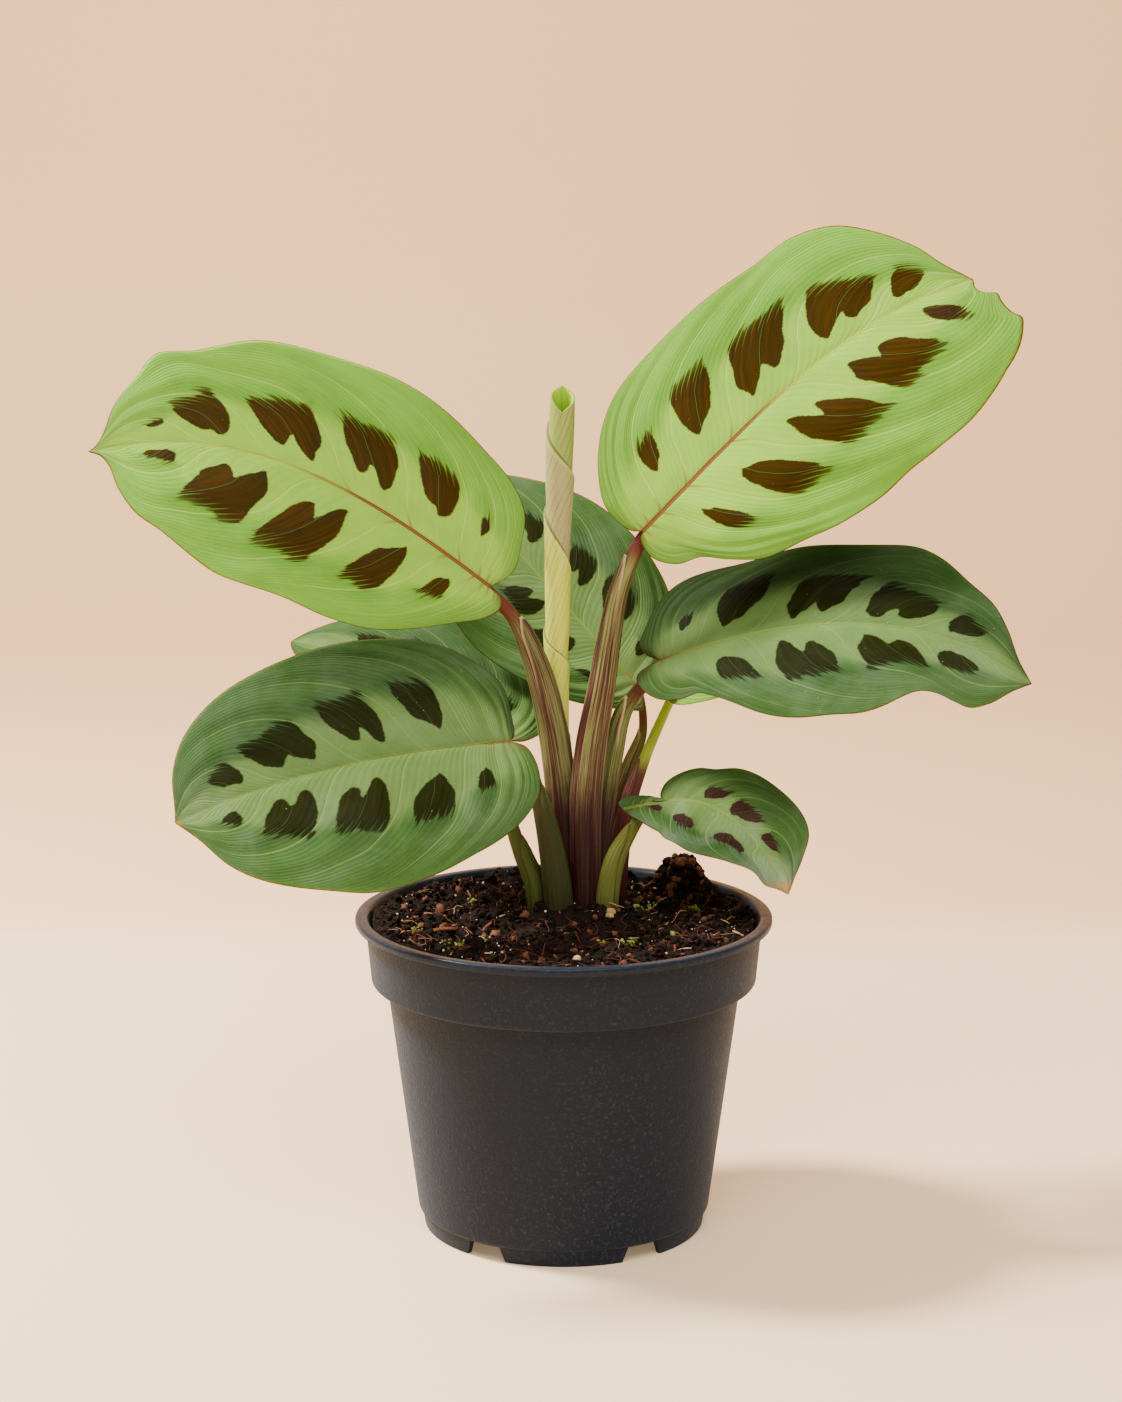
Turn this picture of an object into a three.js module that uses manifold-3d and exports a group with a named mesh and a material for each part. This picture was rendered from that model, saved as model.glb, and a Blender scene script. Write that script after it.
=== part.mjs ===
// A prayer plant in its nursery pot: eight open leaves, one leaf still rolled, their stalks,
// the rootstock they grow from, the soil and the plastic pot. Millimetres, +Z up.
// The origin is on the pot's axis, level with the surface that the pot stands on.

import * as THREE from 'three';
import { mergeVertices } from 'three/addons/utils/BufferGeometryUtils.js';
import Module from 'manifold-3d';

const wasm = await Module();
wasm.setup();

// ---------------------------------------------------------------- driving dimensions

const GAP = 0.3; // clear distance between neighbouring solids

// pot
const POT_HEIGHT = 92;
const RIM_RADIUS = 60;
const LIP_HEIGHT = 2.8; // rolled lip along the rim
const BAND_TOP_RADIUS = 57;
const BAND_FOOT_RADIUS = 55.4;
const LEDGE_HEIGHT = 72.8; // underside of the wide band
const BODY_TOP_RADIUS = 51;
const BODY_FOOT_RADIUS = 42.3;
const STEP_HEIGHT = 5.4; // where the body steps in to the foot ring
const FOOT_TOP_RADIUS = 41.4;
const FOOT_RADIUS = 40.6;
const FOOT_WALL = 1.8;
const WALL = 1.3;
const POT_SIDES = 56;
const NOTCH_AZIMUTHS = [-123, -57, 15, 90, 165]; // degrees, round the foot ring
const NOTCH_HEIGHT = 4.6;
const NOTCH_WIDE = 13.5; // at the surface
const NOTCH_NARROW = 10; // at its top
const NOTCH_REACH = 8; // cut inwards from 1 mm outside the ring
const DRAIN_RADIUS = 3.2;
const DRAIN_RING = 27;

// soil
const SOIL_LEVEL = 88.9;
const CROWN = [4, 14]; // where the stalks leave the soil
const CROWN_MOUND = 1.8;
const CROWN_SPREAD = 17;
const SOIL_SECTORS = 40;
const SOIL_RINGS = 7;
// x, y, height and spread of each lump or hollow
const LUMPS = [
  [36, 37, 9, 8],
  [-31, 33, 1.6, 12],
  [-20, -34, 1.8, 9],
  [24, -36, 1.2, 8],
  [-18, -6, -2.4, 9],
  [-47, 6, 1.5, 8],
];

// rootstock, a short thick stem lying in the soil
const ROOT_TOP = 70;
const ROOT_DEPTH = 9;
const ROOT_REACH = [19, 14.5]; // half its length and half its width

// blades
const BLADE = 0.8; // thickness
const BLADE_ROWS = 18; // from the base to the tip
const BLADE_STEPS = 5; // from the midrib to the margin
const VEIN_SWEEP = 1.85; // how far the side veins sweep on towards the tip
const VEIN_LEAN = 0.5; // a side vein's first rate towards the tip, for its mean rate
const VEIN_SPREAD = 1.2; // its first rate away from the midrib, for its mean rate
const WIDE = 30; // distance from the midrib at which fold and arch are stated

// stalks
const STALK_SIDES = 10;
const STALK_ROWS = 16;
const STALK_DEPTH = 0.75; // depth of a stalk's section for its width
const STALK_TAPER = 0.8; // width at its foot and at its top, for the width next to them

// ---------------------------------------------------------------- colours

const finish = (color, roughness) => new THREE.MeshStandardMaterial({ color, roughness, metalness: 0 });
const YOUNG_GREEN = finish(0x82b257, 0.5);
const DEEP_GREEN = finish(0x4e7f50, 0.5);
const LIME = finish(0xb4c25e, 0.5);
const MAROON = finish(0x74404a, 0.5);
const OLIVE = finish(0x6f7a3c, 0.5);
const PLASTIC = finish(0x3a3b3f, 0.55);
const PEAT = finish(0x2e1c13, 0.95);
const ROOT = finish(0x8a6a45, 0.85);

// ---------------------------------------------------------------- the leaves

// Each leaf has its midrib as a cubic curve of four points, the direction its upper face looks,
// and the outline of each half from the base round to the tip: [part of the midrib's length,
// distance from the midrib]. Left and right are as seen on the upper face with the tip up.
// fold lifts both halves per mm from the midrib, arch lets them curve down again.
// stalk lists x, y, z and half width from the soil up to the blade.

const LEAVES = [
  {
    name: 'upper_left',
    colour: YOUNG_GREEN,
    stalkColour: MAROON,
    midrib: [[-21, 6, 186], [-51, 1, 210], [-87.5, -6.5, 237.5], [-130.14, -20, 227.2]],
    face: [0.32, -0.8, 0.5],
    fold: 0.1,
    arch: 2,
    wave: [0.9, 3.5],
    left: [
      [-0.04, 1], [-0.05, 4], [-0.025, 10], [0.035, 17], [0.12, 26.5], [0.21, 34], [0.31, 37.5],
      [0.45, 38.5], [0.6, 40], [0.7, 38.5], [0.8, 33], [0.88, 26.5], [0.94, 22], [0.98, 13], [0.99, 5],
    ],
    right: [
      [-0.02, 4], [-0.03, 9], [-0.01, 17], [0.025, 26], [0.09, 32], [0.18, 35.5], [0.3, 38.5],
      [0.42, 39.5], [0.54, 37.5], [0.66, 34.5], [0.77, 28], [0.84, 26.5], [0.88, 20], [0.94, 12],
      [0.98, 3],
    ],
    stalk: [
      [0.6, 14, 88, 4.2], [0.3, 14.2, 107, 4.3], [-0.7, 14, 122, 4.4], [-3.2, 13.3, 142, 4.2],
      [-7, 12.2, 159, 3.7], [-11, 11, 170, 2.9], [-14.7, 10, 177, 2.1],
    ],
  },
  {
    name: 'upper_right',
    colour: YOUNG_GREEN,
    stalkColour: MAROON,
    midrib: [[22.5, 12, 201], [50, 17, 228.5], [78, 23, 261], [117, 28, 271.5]],
    face: [-0.17, -0.89, 0.43],
    fold: 0.08,
    arch: 3,
    wave: [0.9, 4],
    left: [
      [-0.02, 3], [-0.02, 13], [0.035, 23], [0.11, 30.5], [0.2, 35.5], [0.3, 37.5], [0.45, 37.5],
      [0.6, 36.5], [0.7, 37], [0.78, 33], [0.84, 26], [0.91, 15.5], [0.95, 7],
    ],
    right: [
      [-0.02, 1.5], [-0.03, 8], [0, 14.5], [0.05, 18], [0.09, 24], [0.15, 31], [0.25, 36],
      [0.34, 40], [0.46, 42], [0.57, 41.5], [0.68, 41.5], [0.81, 39.5], [0.92, 35], [1, 29.5],
      [1.05, 23.5], [1.07, 16.5], [1.05, 11], [1.04, 5.5], [1.01, 1.5],
    ],
    stalk: [
      [6.8, 8.8, 88, 4.1], [6.4, 9.3, 107, 4.3], [6.6, 9.8, 124, 4.5], [8.2, 10.3, 140, 4.3],
      [10.7, 11, 154, 3.8], [13.2, 12, 170, 3.2], [15.7, 12.6, 183, 2.6], [19.8, 13.5, 194, 2.2],
    ],
  },
  {
    name: 'middle_right',
    colour: DEEP_GREEN,
    stalkColour: MAROON,
    midrib: [[27.5, 10, 164], [59.5, 0, 178], [99.5, -11, 186], [129.5, -22, 163]],
    face: [-0.19, -0.62, 0.76],
    fold: 0.02,
    arch: 3,
    wave: [1.1, 4.5],
    left: [
      [-0.035, 3.5], [-0.055, 8.5], [-0.04, 15], [0, 23.5], [0.05, 27.5], [0.13, 30], [0.25, 31.5],
      [0.4, 32], [0.53, 33.5], [0.61, 32.5], [0.68, 28.5], [0.75, 23], [0.82, 18], [0.88, 11],
      [0.94, 4],
    ],
    right: [
      [-0.03, 0.5], [-0.06, 1.5], [-0.07, 4], [-0.05, 9.5], [-0.01, 14], [0.05, 16], [0.1, 16],
      [0.14, 18.5], [0.19, 22.5], [0.26, 27], [0.35, 30], [0.45, 32], [0.56, 30.5], [0.66, 26],
      [0.75, 20], [0.8, 18.5], [0.86, 18], [0.91, 17], [0.95, 12.5], [0.975, 6],
    ],
    stalk: [
      [9.8, 16.2, 88, 3.3], [10.2, 16.6, 107, 3.3], [12, 16.6, 121, 3.2], [14.5, 16.3, 136, 2.9],
      [17.5, 15.8, 148, 2.3], [22.5, 14.5, 155.5, 2],
    ],
  },
  {
    name: 'lower_left',
    colour: DEEP_GREEN,
    stalkColour: OLIVE,
    midrib: [[-15.5, -6, 143.5], [-46, -20, 143.5], [-77, -34.5, 141], [-105, -50, 130]],
    face: [0.26, -0.72, 0.65],
    fold: 0.05,
    arch: 3,
    wave: [0.8, 3],
    left: [
      [-0.02, 0.5], [-0.045, 2], [-0.06, 6], [-0.06, 12.5], [-0.04, 18], [0.03, 25], [0.12, 30],
      [0.2, 33], [0.3, 36], [0.42, 37.5], [0.55, 37.5], [0.67, 34.5], [0.78, 30], [0.87, 24],
      [0.93, 17], [0.965, 8],
    ],
    right: [
      [-0.02, 1.5], [-0.03, 7.5], [-0.03, 18.5], [0.02, 26.5], [0.09, 34], [0.17, 38], [0.27, 39.5],
      [0.38, 39.5], [0.5, 38.5], [0.6, 36.5], [0.7, 33], [0.8, 27.5], [0.88, 21], [0.94, 13],
      [0.98, 4],
    ],
    stalk: [
      [-1.4, 5.5, 88, 4.1], [-2.3, 5.5, 100, 4], [-3.8, 5, 110, 3.5], [-5.6, 3.8, 119, 2.9],
      [-8.3, 1.5, 130, 2.1], [-12, -2, 138.5, 1.9],
    ],
  },
  {
    name: 'small_lower_right',
    colour: DEEP_GREEN,
    stalkColour: OLIVE,
    midrib: [[28.5, 2, 124.5], [44.5, -5, 129.5], [57, -14, 116], [63, -22, 103]],
    face: [0, -0.66, 0.75],
    fold: 0.12,
    arch: 2,
    wave: [0.7, 3],
    left: [
      [-0.02, 2], [0, 5.5], [0.06, 9], [0.14, 11.5], [0.22, 12], [0.32, 14.8], [0.44, 16.5],
      [0.6, 16.5], [0.75, 14], [0.84, 9], [0.92, 4],
    ],
    right: [
      [-0.05, -0.3], [-0.12, -2], [-0.21, -4], [-0.27, -2.5], [-0.21, 2], [-0.12, 6], [0, 11.5],
      [0.12, 16], [0.28, 17.5], [0.42, 17.3], [0.55, 15], [0.68, 11], [0.8, 6.5], [0.9, 5.3],
      [0.95, 2.5],
    ],
    stalk: [
      [12.6, 4, 88, 3.1], [13, 4.4, 97, 3.1], [15, 5, 106.5, 2.8], [18.5, 5.2, 113.5, 2.1],
      [23, 4.6, 120, 1.6],
    ],
  },
  {
    name: 'back_centre',
    colour: DEEP_GREEN,
    stalkColour: OLIVE,
    midrib: [[22.5, 28, 152], [4.5, 38, 171.5], [-15, 48, 191], [-35, 59, 214]],
    face: [0.04, -0.87, 0.49],
    fold: 0.05,
    arch: 2,
    wave: [0.8, 3],
    left: [
      [-0.03, 1], [-0.06, 3.5], [-0.01, 8.5], [0.06, 14], [0.13, 18.5], [0.22, 22.5], [0.32, 26],
      [0.44, 28.5], [0.57, 28.5], [0.7, 26.5], [0.81, 21.5], [0.91, 13], [0.97, 5],
    ],
    right: [
      [-0.03, 1.5], [-0.04, 6], [-0.01, 11], [0.05, 17], [0.12, 22], [0.22, 27], [0.34, 29.5],
      [0.45, 30], [0.55, 29.5], [0.65, 27], [0.75, 21.5], [0.85, 14], [0.93, 7], [0.975, 3],
    ],
    stalk: [
      [9.8, 23, 88, 2.8], [11.8, 23.5, 105, 2.7], [15.2, 25, 118, 2.4], [19.5, 27, 130, 1.9],
      [23.2, 29.5, 139.5, 1.3],
    ],
  },
  {
    name: 'back_left',
    colour: DEEP_GREEN,
    stalkColour: OLIVE,
    midrib: [[-15, 15, 139.5], [-36, 27.5, 152], [-60, 41.5, 163], [-82, 54.5, 162]],
    face: [0.35, -0.5, 0.79],
    fold: 0.22,
    arch: 1,
    wave: [0.8, 2.5],
    left: [
      [-0.03, 2], [-0.06, 8], [-0.04, 15], [0.04, 21], [0.14, 25], [0.28, 27.5], [0.42, 28],
      [0.56, 26.5], [0.7, 22.5], [0.82, 16], [0.91, 9], [0.97, 3.5],
    ],
    right: [
      [-0.03, 2], [-0.05, 8], [-0.02, 15], [0.06, 21.5], [0.16, 25.5], [0.3, 28], [0.45, 28],
      [0.6, 25.5], [0.73, 21], [0.84, 14.5], [0.92, 8], [0.975, 3],
    ],
    stalk: [
      [-7.5, 10.5, 88, 3], [-8.6, 10.7, 98, 3], [-12.2, 11.4, 107, 2.5], [-15.3, 12.5, 116, 1.8],
      [-16.3, 14.5, 128, 1.5],
    ],
  },
  {
    name: 'back_right',
    colour: YOUNG_GREEN,
    stalkColour: LIME,
    midrib: [[31, 34.5, 150], [42, 40, 158.5], [54, 45.5, 160.5], [67, 51.5, 149]],
    face: [-0.2, -0.4, 0.89],
    fold: 0.15,
    arch: 1.5,
    wave: [0.6, 2.5],
    left: [
      [-0.04, 2], [-0.06, 6], [-0.03, 11], [0.05, 15], [0.15, 17.5], [0.3, 19], [0.45, 19],
      [0.6, 17.5], [0.74, 14], [0.85, 9.5], [0.93, 5], [0.975, 2],
    ],
    right: [
      [-0.04, 2], [-0.06, 6], [-0.03, 10.5], [0.05, 14.5], [0.15, 17], [0.3, 18.5], [0.45, 18.5],
      [0.6, 17], [0.74, 13.5], [0.85, 9], [0.93, 4.5], [0.975, 2],
    ],
    stalk: [
      [16, 17.5, 88, 2.4], [16.6, 18.3, 104, 2.5], [19, 21, 119, 2.3], [24.2, 26, 133, 1.6],
    ],
  },
];

// The rolled leaf: a bare stalk behind the others, then the blade wound on itself.
const ROLLED = {
  stalk: [
    [3, 20.5, 88, 2.6], [2.4, 20.4, 104, 2.7], [1, 20, 121, 2.8], [-0.7, 19.5, 137.6, 2.9],
  ],
  // x, y, z and radius
  blade: [
    [-1, 19.3, 140.6, 2.9], [-1.9, 18.3, 153, 3.4], [-2, 17.2, 171, 3.5], [-1.8, 15.8, 192, 3.6],
    [-1.3, 14.4, 215, 3.9], [-0.8, 13.3, 231, 3.8], [-0.5, 12.8, 240, 3.6],
  ],
  overlap: 0.75, // step where the outer edge lies on the turn above
  start: 0.785, // where that edge leaves the stalk, as a part of a turn from +X
  turns: 3.65, // how far it winds up and round, clockwise from above
  mouth: 7, // depth of the open funnel at the top
  mouthWall: 0.9,
  sides: 16,
  rows: 36,
};

// ---------------------------------------------------------------- geometry helpers

const vector = ([x, y, z = 0]) => new THREE.Vector3(x, y, z);

/** Closed geometry from a list of corners, three to a face, without the faces that shrink to a line. */
function weld(corners) {
  const kept = [];
  for (let i = 0; i < corners.length; i += 3) {
    const [a, b, c] = corners.slice(i, i + 3);
    const shortest = Math.min(a.distanceTo(b), b.distanceTo(c), c.distanceTo(a));
    if (shortest > 1e-4) kept.push(a, b, c);
  }
  return mergeVertices(new THREE.BufferGeometry().setFromPoints(kept), 1e-4);
}

/** Corners of the two triangles of a quad. */
const quad = (a, b, c, d) => [a, b, c, a, c, d];

/** A body with rings of equal length as its skin and a flat or pointed fan at both ends. */
function loft(rings, startCentre, endCentre) {
  const corners = [];
  const count = rings[0].length;
  for (let i = 0; i < count; i += 1) {
    const next = (i + 1) % count;
    corners.push(startCentre, rings[0][next], rings[0][i]);
    for (let row = 1; row < rings.length; row += 1) {
      corners.push(...quad(rings[row - 1][i], rings[row - 1][next], rings[row][next], rings[row][i]));
    }
    corners.push(endCentre, rings.at(-1)[i], rings.at(-1)[next]);
  }
  return weld(corners);
}

function solid(geometry) {
  const bare = geometry.clone();
  bare.deleteAttribute('normal');
  bare.deleteAttribute('uv');
  const merged = mergeVertices(bare, 1e-4);
  return new wasm.Manifold(new wasm.Mesh({
    numProp: 3,
    vertProperties: new Float32Array(merged.attributes.position.array),
    triVerts: new Uint32Array(merged.index.array),
  }));
}

function fromSolid(body) {
  const mesh = body.getMesh();
  const geometry = new THREE.BufferGeometry();
  geometry.setAttribute('position', new THREE.BufferAttribute(mesh.vertProperties, 3));
  geometry.setIndex(new THREE.BufferAttribute(mesh.triVerts, 1));
  return geometry;
}

function piece(name, geometry, material) {
  const mesh = new THREE.Mesh(geometry, material);
  mesh.name = name;
  return mesh;
}

// ---------------------------------------------------------------- pot

/** Inner radius of the pot's wall at a height, between its floor and its lip. */
function potInside(z) {
  const inLedge = LEDGE_HEIGHT + WALL;
  if (z < inLedge) {
    const part = (z - STEP_HEIGHT) / (LEDGE_HEIGHT - STEP_HEIGHT);
    return THREE.MathUtils.lerp(BODY_FOOT_RADIUS, BODY_TOP_RADIUS, part) - WALL;
  }
  const part = (z - inLedge) / (POT_HEIGHT - LIP_HEIGHT - inLedge);
  return THREE.MathUtils.lerp(BAND_FOOT_RADIUS, BAND_TOP_RADIUS, part) - WALL;
}

const FLOOR_TOP = STEP_HEIGHT + 1;

function potGeometry() {
  const lipFoot = POT_HEIGHT - LIP_HEIGHT;
  const profile = [
    [0, FLOOR_TOP - WALL],
    [FOOT_RADIUS - FOOT_WALL, FLOOR_TOP - WALL],
    [FOOT_RADIUS - FOOT_WALL, 0],
    [FOOT_RADIUS, 0],
    [FOOT_TOP_RADIUS, STEP_HEIGHT - 0.6],
    [BODY_FOOT_RADIUS, STEP_HEIGHT],
    [BODY_TOP_RADIUS, LEDGE_HEIGHT - 0.8],
    [BODY_TOP_RADIUS + 0.6, LEDGE_HEIGHT],
    [BAND_FOOT_RADIUS - 0.6, LEDGE_HEIGHT],
    [BAND_FOOT_RADIUS + 0.2, LEDGE_HEIGHT + 1],
    [BAND_TOP_RADIUS, lipFoot - 0.6],
    [BAND_TOP_RADIUS + 0.8, lipFoot],
    [RIM_RADIUS - 0.5, lipFoot + 0.4],
    [RIM_RADIUS, lipFoot + 1.4],
    [RIM_RADIUS - 0.5, POT_HEIGHT - 0.4],
    [RIM_RADIUS - 1.5, POT_HEIGHT],
    [BAND_TOP_RADIUS + 0.3, POT_HEIGHT - 0.2],
    [BAND_TOP_RADIUS - 0.7, POT_HEIGHT - 1.1],
    [potInside(lipFoot), lipFoot],
    [potInside(LEDGE_HEIGHT + WALL), LEDGE_HEIGHT + WALL],
    [potInside(LEDGE_HEIGHT), LEDGE_HEIGHT + WALL],
    [potInside(FLOOR_TOP), FLOOR_TOP],
    [0, FLOOR_TOP],
  ];
  const turned = new THREE.LatheGeometry(profile.map(([r, z]) => new THREE.Vector2(r, z)), POT_SIDES);
  turned.rotateX(Math.PI / 2);
  let body = solid(turned);

  // slanted notches in the foot ring let water run out from under the pot
  const trapezium = new THREE.Shape([
    new THREE.Vector2(-NOTCH_WIDE / 2, -1),
    new THREE.Vector2(NOTCH_WIDE / 2, -1),
    new THREE.Vector2(NOTCH_NARROW / 2, NOTCH_HEIGHT),
    new THREE.Vector2(-NOTCH_NARROW / 2, NOTCH_HEIGHT),
  ]);
  const drain = new THREE.CylinderGeometry(DRAIN_RADIUS, DRAIN_RADIUS, 4 * WALL, 16);
  drain.rotateX(Math.PI / 2);
  drain.translate(0, 0, FLOOR_TOP - WALL / 2);
  body = body.subtract(solid(drain));
  for (const azimuth of NOTCH_AZIMUTHS) {
    const angle = THREE.MathUtils.degToRad(azimuth);
    const notch = new THREE.ExtrudeGeometry(trapezium, { depth: NOTCH_REACH, bevelEnabled: false });
    notch.rotateX(Math.PI / 2);
    notch.translate(0, NOTCH_REACH - FOOT_RADIUS - 1, 0);
    notch.rotateZ(angle + Math.PI / 2);
    const hole = drain.clone();
    hole.translate(DRAIN_RING * Math.cos(angle), DRAIN_RING * Math.sin(angle), 0);
    body = body.subtract(solid(notch)).subtract(solid(hole));
  }
  return fromSolid(body);
}

// ---------------------------------------------------------------- stalks

/** Path and half width of a stalk at a part of its length, from its [x, y, z, half width] points. */
function stalkCurve(points) {
  const curve = new THREE.CatmullRomCurve3(points.map(vector));
  const widthAt = (t) => {
    const place = t * (points.length - 1);
    const i = Math.min(Math.floor(place), points.length - 2);
    return THREE.MathUtils.lerp(points[i][3], points[i + 1][3], place - i);
  };
  return { curve, widthAt };
}

/** A tapering stalk with an oval section, wider from side to side than from front to back. */
function stalkGeometry(points, depth, swell = 0) {
  const { curve, widthAt } = stalkCurve(points);
  const rings = [];
  for (let row = 0; row <= STALK_ROWS; row += 1) {
    const t = row / STALK_ROWS;
    const centre = curve.getPoint(t);
    const along = curve.getTangent(t);
    const across = new THREE.Vector3(1, 0, 0).addScaledVector(along, -along.x).normalize();
    const through = new THREE.Vector3().crossVectors(along, across);
    const half = widthAt(t);
    const ring = [];
    for (let i = 0; i < STALK_SIDES; i += 1) {
      const angle = (2 * Math.PI * i) / STALK_SIDES;
      ring.push(centre.clone()
        .addScaledVector(across, (half + swell) * Math.cos(angle))
        .addScaledVector(through, (half * depth + swell) * Math.sin(angle)));
    }
    rings.push(ring);
  }
  return loft(rings, curve.getPoint(0), curve.getPoint(1));
}

/** The stalk's points with its straight foot, which stands on the rootstock. */
function rooted(points) {
  const [x, y, , half] = points[0];
  return [[x, y, ROOT_TOP + GAP, half * STALK_TAPER], ...points];
}

// ---------------------------------------------------------------- blades

/** The midrib as a straight line on past both of its ends. */
function midribAt(leaf, part) {
  const curve = new THREE.CubicBezierCurve3(...leaf.midrib.map(vector));
  const inside = THREE.MathUtils.clamp(part, 0, 1);
  const near = curve.getPoint(inside);
  const ends = [leaf.midrib[inside < 0.5 ? 0 : 2], leaf.midrib[inside < 0.5 ? 1 : 3]].map(vector);
  return near.addScaledVector(ends[1].sub(ends[0]), 3 * (part - inside));
}

/** Directions along the midrib, across to the left half, and out of the upper face. */
function bladeFrame(leaf, part) {
  const curve = new THREE.CubicBezierCurve3(...leaf.midrib.map(vector));
  const along = curve.getTangent(THREE.MathUtils.clamp(part, 0, 1));
  const across = new THREE.Vector3().crossVectors(vector(leaf.face), along).normalize();
  const out = new THREE.Vector3().crossVectors(along, across);
  return { across, out };
}

/** A point of the blade's middle surface: part of the midrib's length, mm to the left, lift. */
function bladePoint(leaf, part, left, lift) {
  const { across, out } = bladeFrame(leaf, part);
  const away = Math.abs(left);
  const height = leaf.fold * away - leaf.arch * (away / WIDE) ** 2 + lift;
  return midribAt(leaf, part).addScaledVector(across, left).addScaledVector(out, height);
}

/** One half of the blade as rows of points, each row along a side vein from midrib to margin. */
function bladeHalf(leaf, outline, sign, lift) {
  const length = new THREE.CubicBezierCurve3(...leaf.midrib.map(vector)).getLength();
  const scaled = [[0, 0], ...outline, [1, 0]].map(([part, width]) => vector([part * length, width]));
  const margin = new THREE.CatmullRomCurve3(scaled);
  const [waveHeight, waves] = leaf.wave;
  const rows = [];
  for (let row = 0; row <= BLADE_ROWS; row += 1) {
    const u = row / BLADE_ROWS;
    const edge = margin.getPointAt(u);
    const start = u ** VEIN_SWEEP;
    const reach = edge.x / length - start;
    const points = [];
    for (let step = 0; step <= BLADE_STEPS; step += 1) {
      const v = step / BLADE_STEPS;
      const part = start + reach * (VEIN_LEAN * v * (1 - v) + v * v);
      const width = edge.y * (VEIN_SPREAD * v * (1 - v) + v * v);
      const ripple = waveHeight * v ** 3 * Math.sin(2 * Math.PI * waves * u + sign);
      points.push(bladePoint(leaf, part, sign * width, lift + ripple * Math.sin(Math.PI * u)));
    }
    rows.push(points);
  }
  return rows;
}

/** A thin blade with the same triangles on its upper and lower face. */
function bladeGeometry(leaf) {
  const corners = [];
  for (const [outline, sign] of [[leaf.left, 1], [leaf.right, -1]]) {
    const upper = bladeHalf(leaf, outline, sign, BLADE / 2);
    const lower = bladeHalf(leaf, outline, sign, -BLADE / 2);
    const face = (a, b, c) => corners.push(...(sign > 0 ? [a, b, c] : [a, c, b]));
    for (let row = 0; row < BLADE_ROWS; row += 1) {
      for (let step = 0; step < BLADE_STEPS; step += 1) {
        face(upper[row][step], upper[row + 1][step], upper[row + 1][step + 1]);
        face(upper[row][step], upper[row + 1][step + 1], upper[row][step + 1]);
        face(lower[row][step], lower[row + 1][step + 1], lower[row + 1][step]);
        face(lower[row][step], lower[row][step + 1], lower[row + 1][step + 1]);
      }
      const last = BLADE_STEPS;
      face(upper[row][last], upper[row + 1][last], lower[row + 1][last]);
      face(upper[row][last], lower[row + 1][last], lower[row][last]);
    }
  }
  return weld(corners);
}

/** The leaf's stalk, led on until it meets the blade's underside at the base of the midrib. */
function leafStalk(leaf) {
  const half = leaf.stalk.at(-1)[3] * STALK_TAPER;
  const under = bladePoint(leaf, 0.01, 0, -(BLADE / 2 + GAP + half));
  return rooted([...leaf.stalk, [...under.toArray(), half]]);
}

// ---------------------------------------------------------------- rolled leaf

/** The blade wound on itself: a section that steps out at its free edge, and an open mouth. */
function rolledGeometry() {
  const { curve, widthAt } = stalkCurve(ROLLED.blade);
  const ringAt = (t, inset, drop) => {
    const centre = curve.getPoint(t).add(new THREE.Vector3(0, 0, -drop));
    const ring = [];
    for (let i = 0; i < ROLLED.sides; i += 1) {
      const turn = i / ROLLED.sides;
      const wound = THREE.MathUtils.euclideanModulo(ROLLED.start - ROLLED.turns * t - turn, 1);
      const radius = widthAt(t) - inset - ROLLED.overlap * wound;
      const angle = 2 * Math.PI * turn;
      ring.push(centre.clone().add(vector([radius * Math.cos(angle), radius * Math.sin(angle), 0])));
    }
    return ring;
  };
  const rings = [];
  for (let row = 0; row <= ROLLED.rows; row += 1) rings.push(ringAt(row / ROLLED.rows, 0, 0));
  rings.push(ringAt(1, ROLLED.mouthWall, 0));
  const bottom = curve.getPoint(1).add(new THREE.Vector3(0, 0, -ROLLED.mouth));
  return loft(rings, curve.getPoint(0), bottom);
}

// ---------------------------------------------------------------- rootstock and soil

/** A knobbly lying stem with a level top, on which the stalks stand. */
function rootGeometry(swell = 0) {
  const geometry = new THREE.SphereGeometry(1, 18, 9);
  const place = geometry.attributes.position;
  const [reach, width] = ROOT_REACH;
  for (let i = 0; i < place.count; i += 1) {
    const p = new THREE.Vector3().fromBufferAttribute(place, i);
    const knob = 1 + 0.05 * Math.sin(5 * p.x + 1) * Math.cos(4 * p.z);
    p.set(p.x * reach * knob, p.z * width * knob, -p.y * ROOT_DEPTH * knob);
    p.addScaledVector(p.clone().normalize(), swell);
    p.z = Math.min(p.z, swell);
    place.setXYZ(i, p.x + CROWN[0], p.y + CROWN[1], p.z + ROOT_TOP);
  }
  geometry.deleteAttribute('normal');
  geometry.deleteAttribute('uv');
  const merged = mergeVertices(geometry, 1e-4);
  const faces = [];
  const corner = (i) => new THREE.Vector3().fromBufferAttribute(merged.attributes.position, i);
  for (const i of merged.index.array) faces.push(corner(i));
  return weld(faces);
}

/** Height of the soil's surface: a mound round the crown, soft waves, lumps and hollows. */
function soilTop(x, y) {
  const bump = (cx, cy, height, spread) => height * Math.exp(-((x - cx) ** 2 + (y - cy) ** 2) / spread ** 2);
  let z = SOIL_LEVEL + bump(...CROWN, CROWN_MOUND, CROWN_SPREAD);
  z += 0.6 * Math.sin(0.31 * x + 1.1) * Math.cos(0.27 * y - 0.4);
  z += 0.4 * Math.sin(0.63 * x - 0.52 * y + 2);
  for (const lump of LUMPS) z += bump(...lump);
  return z;
}

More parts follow.
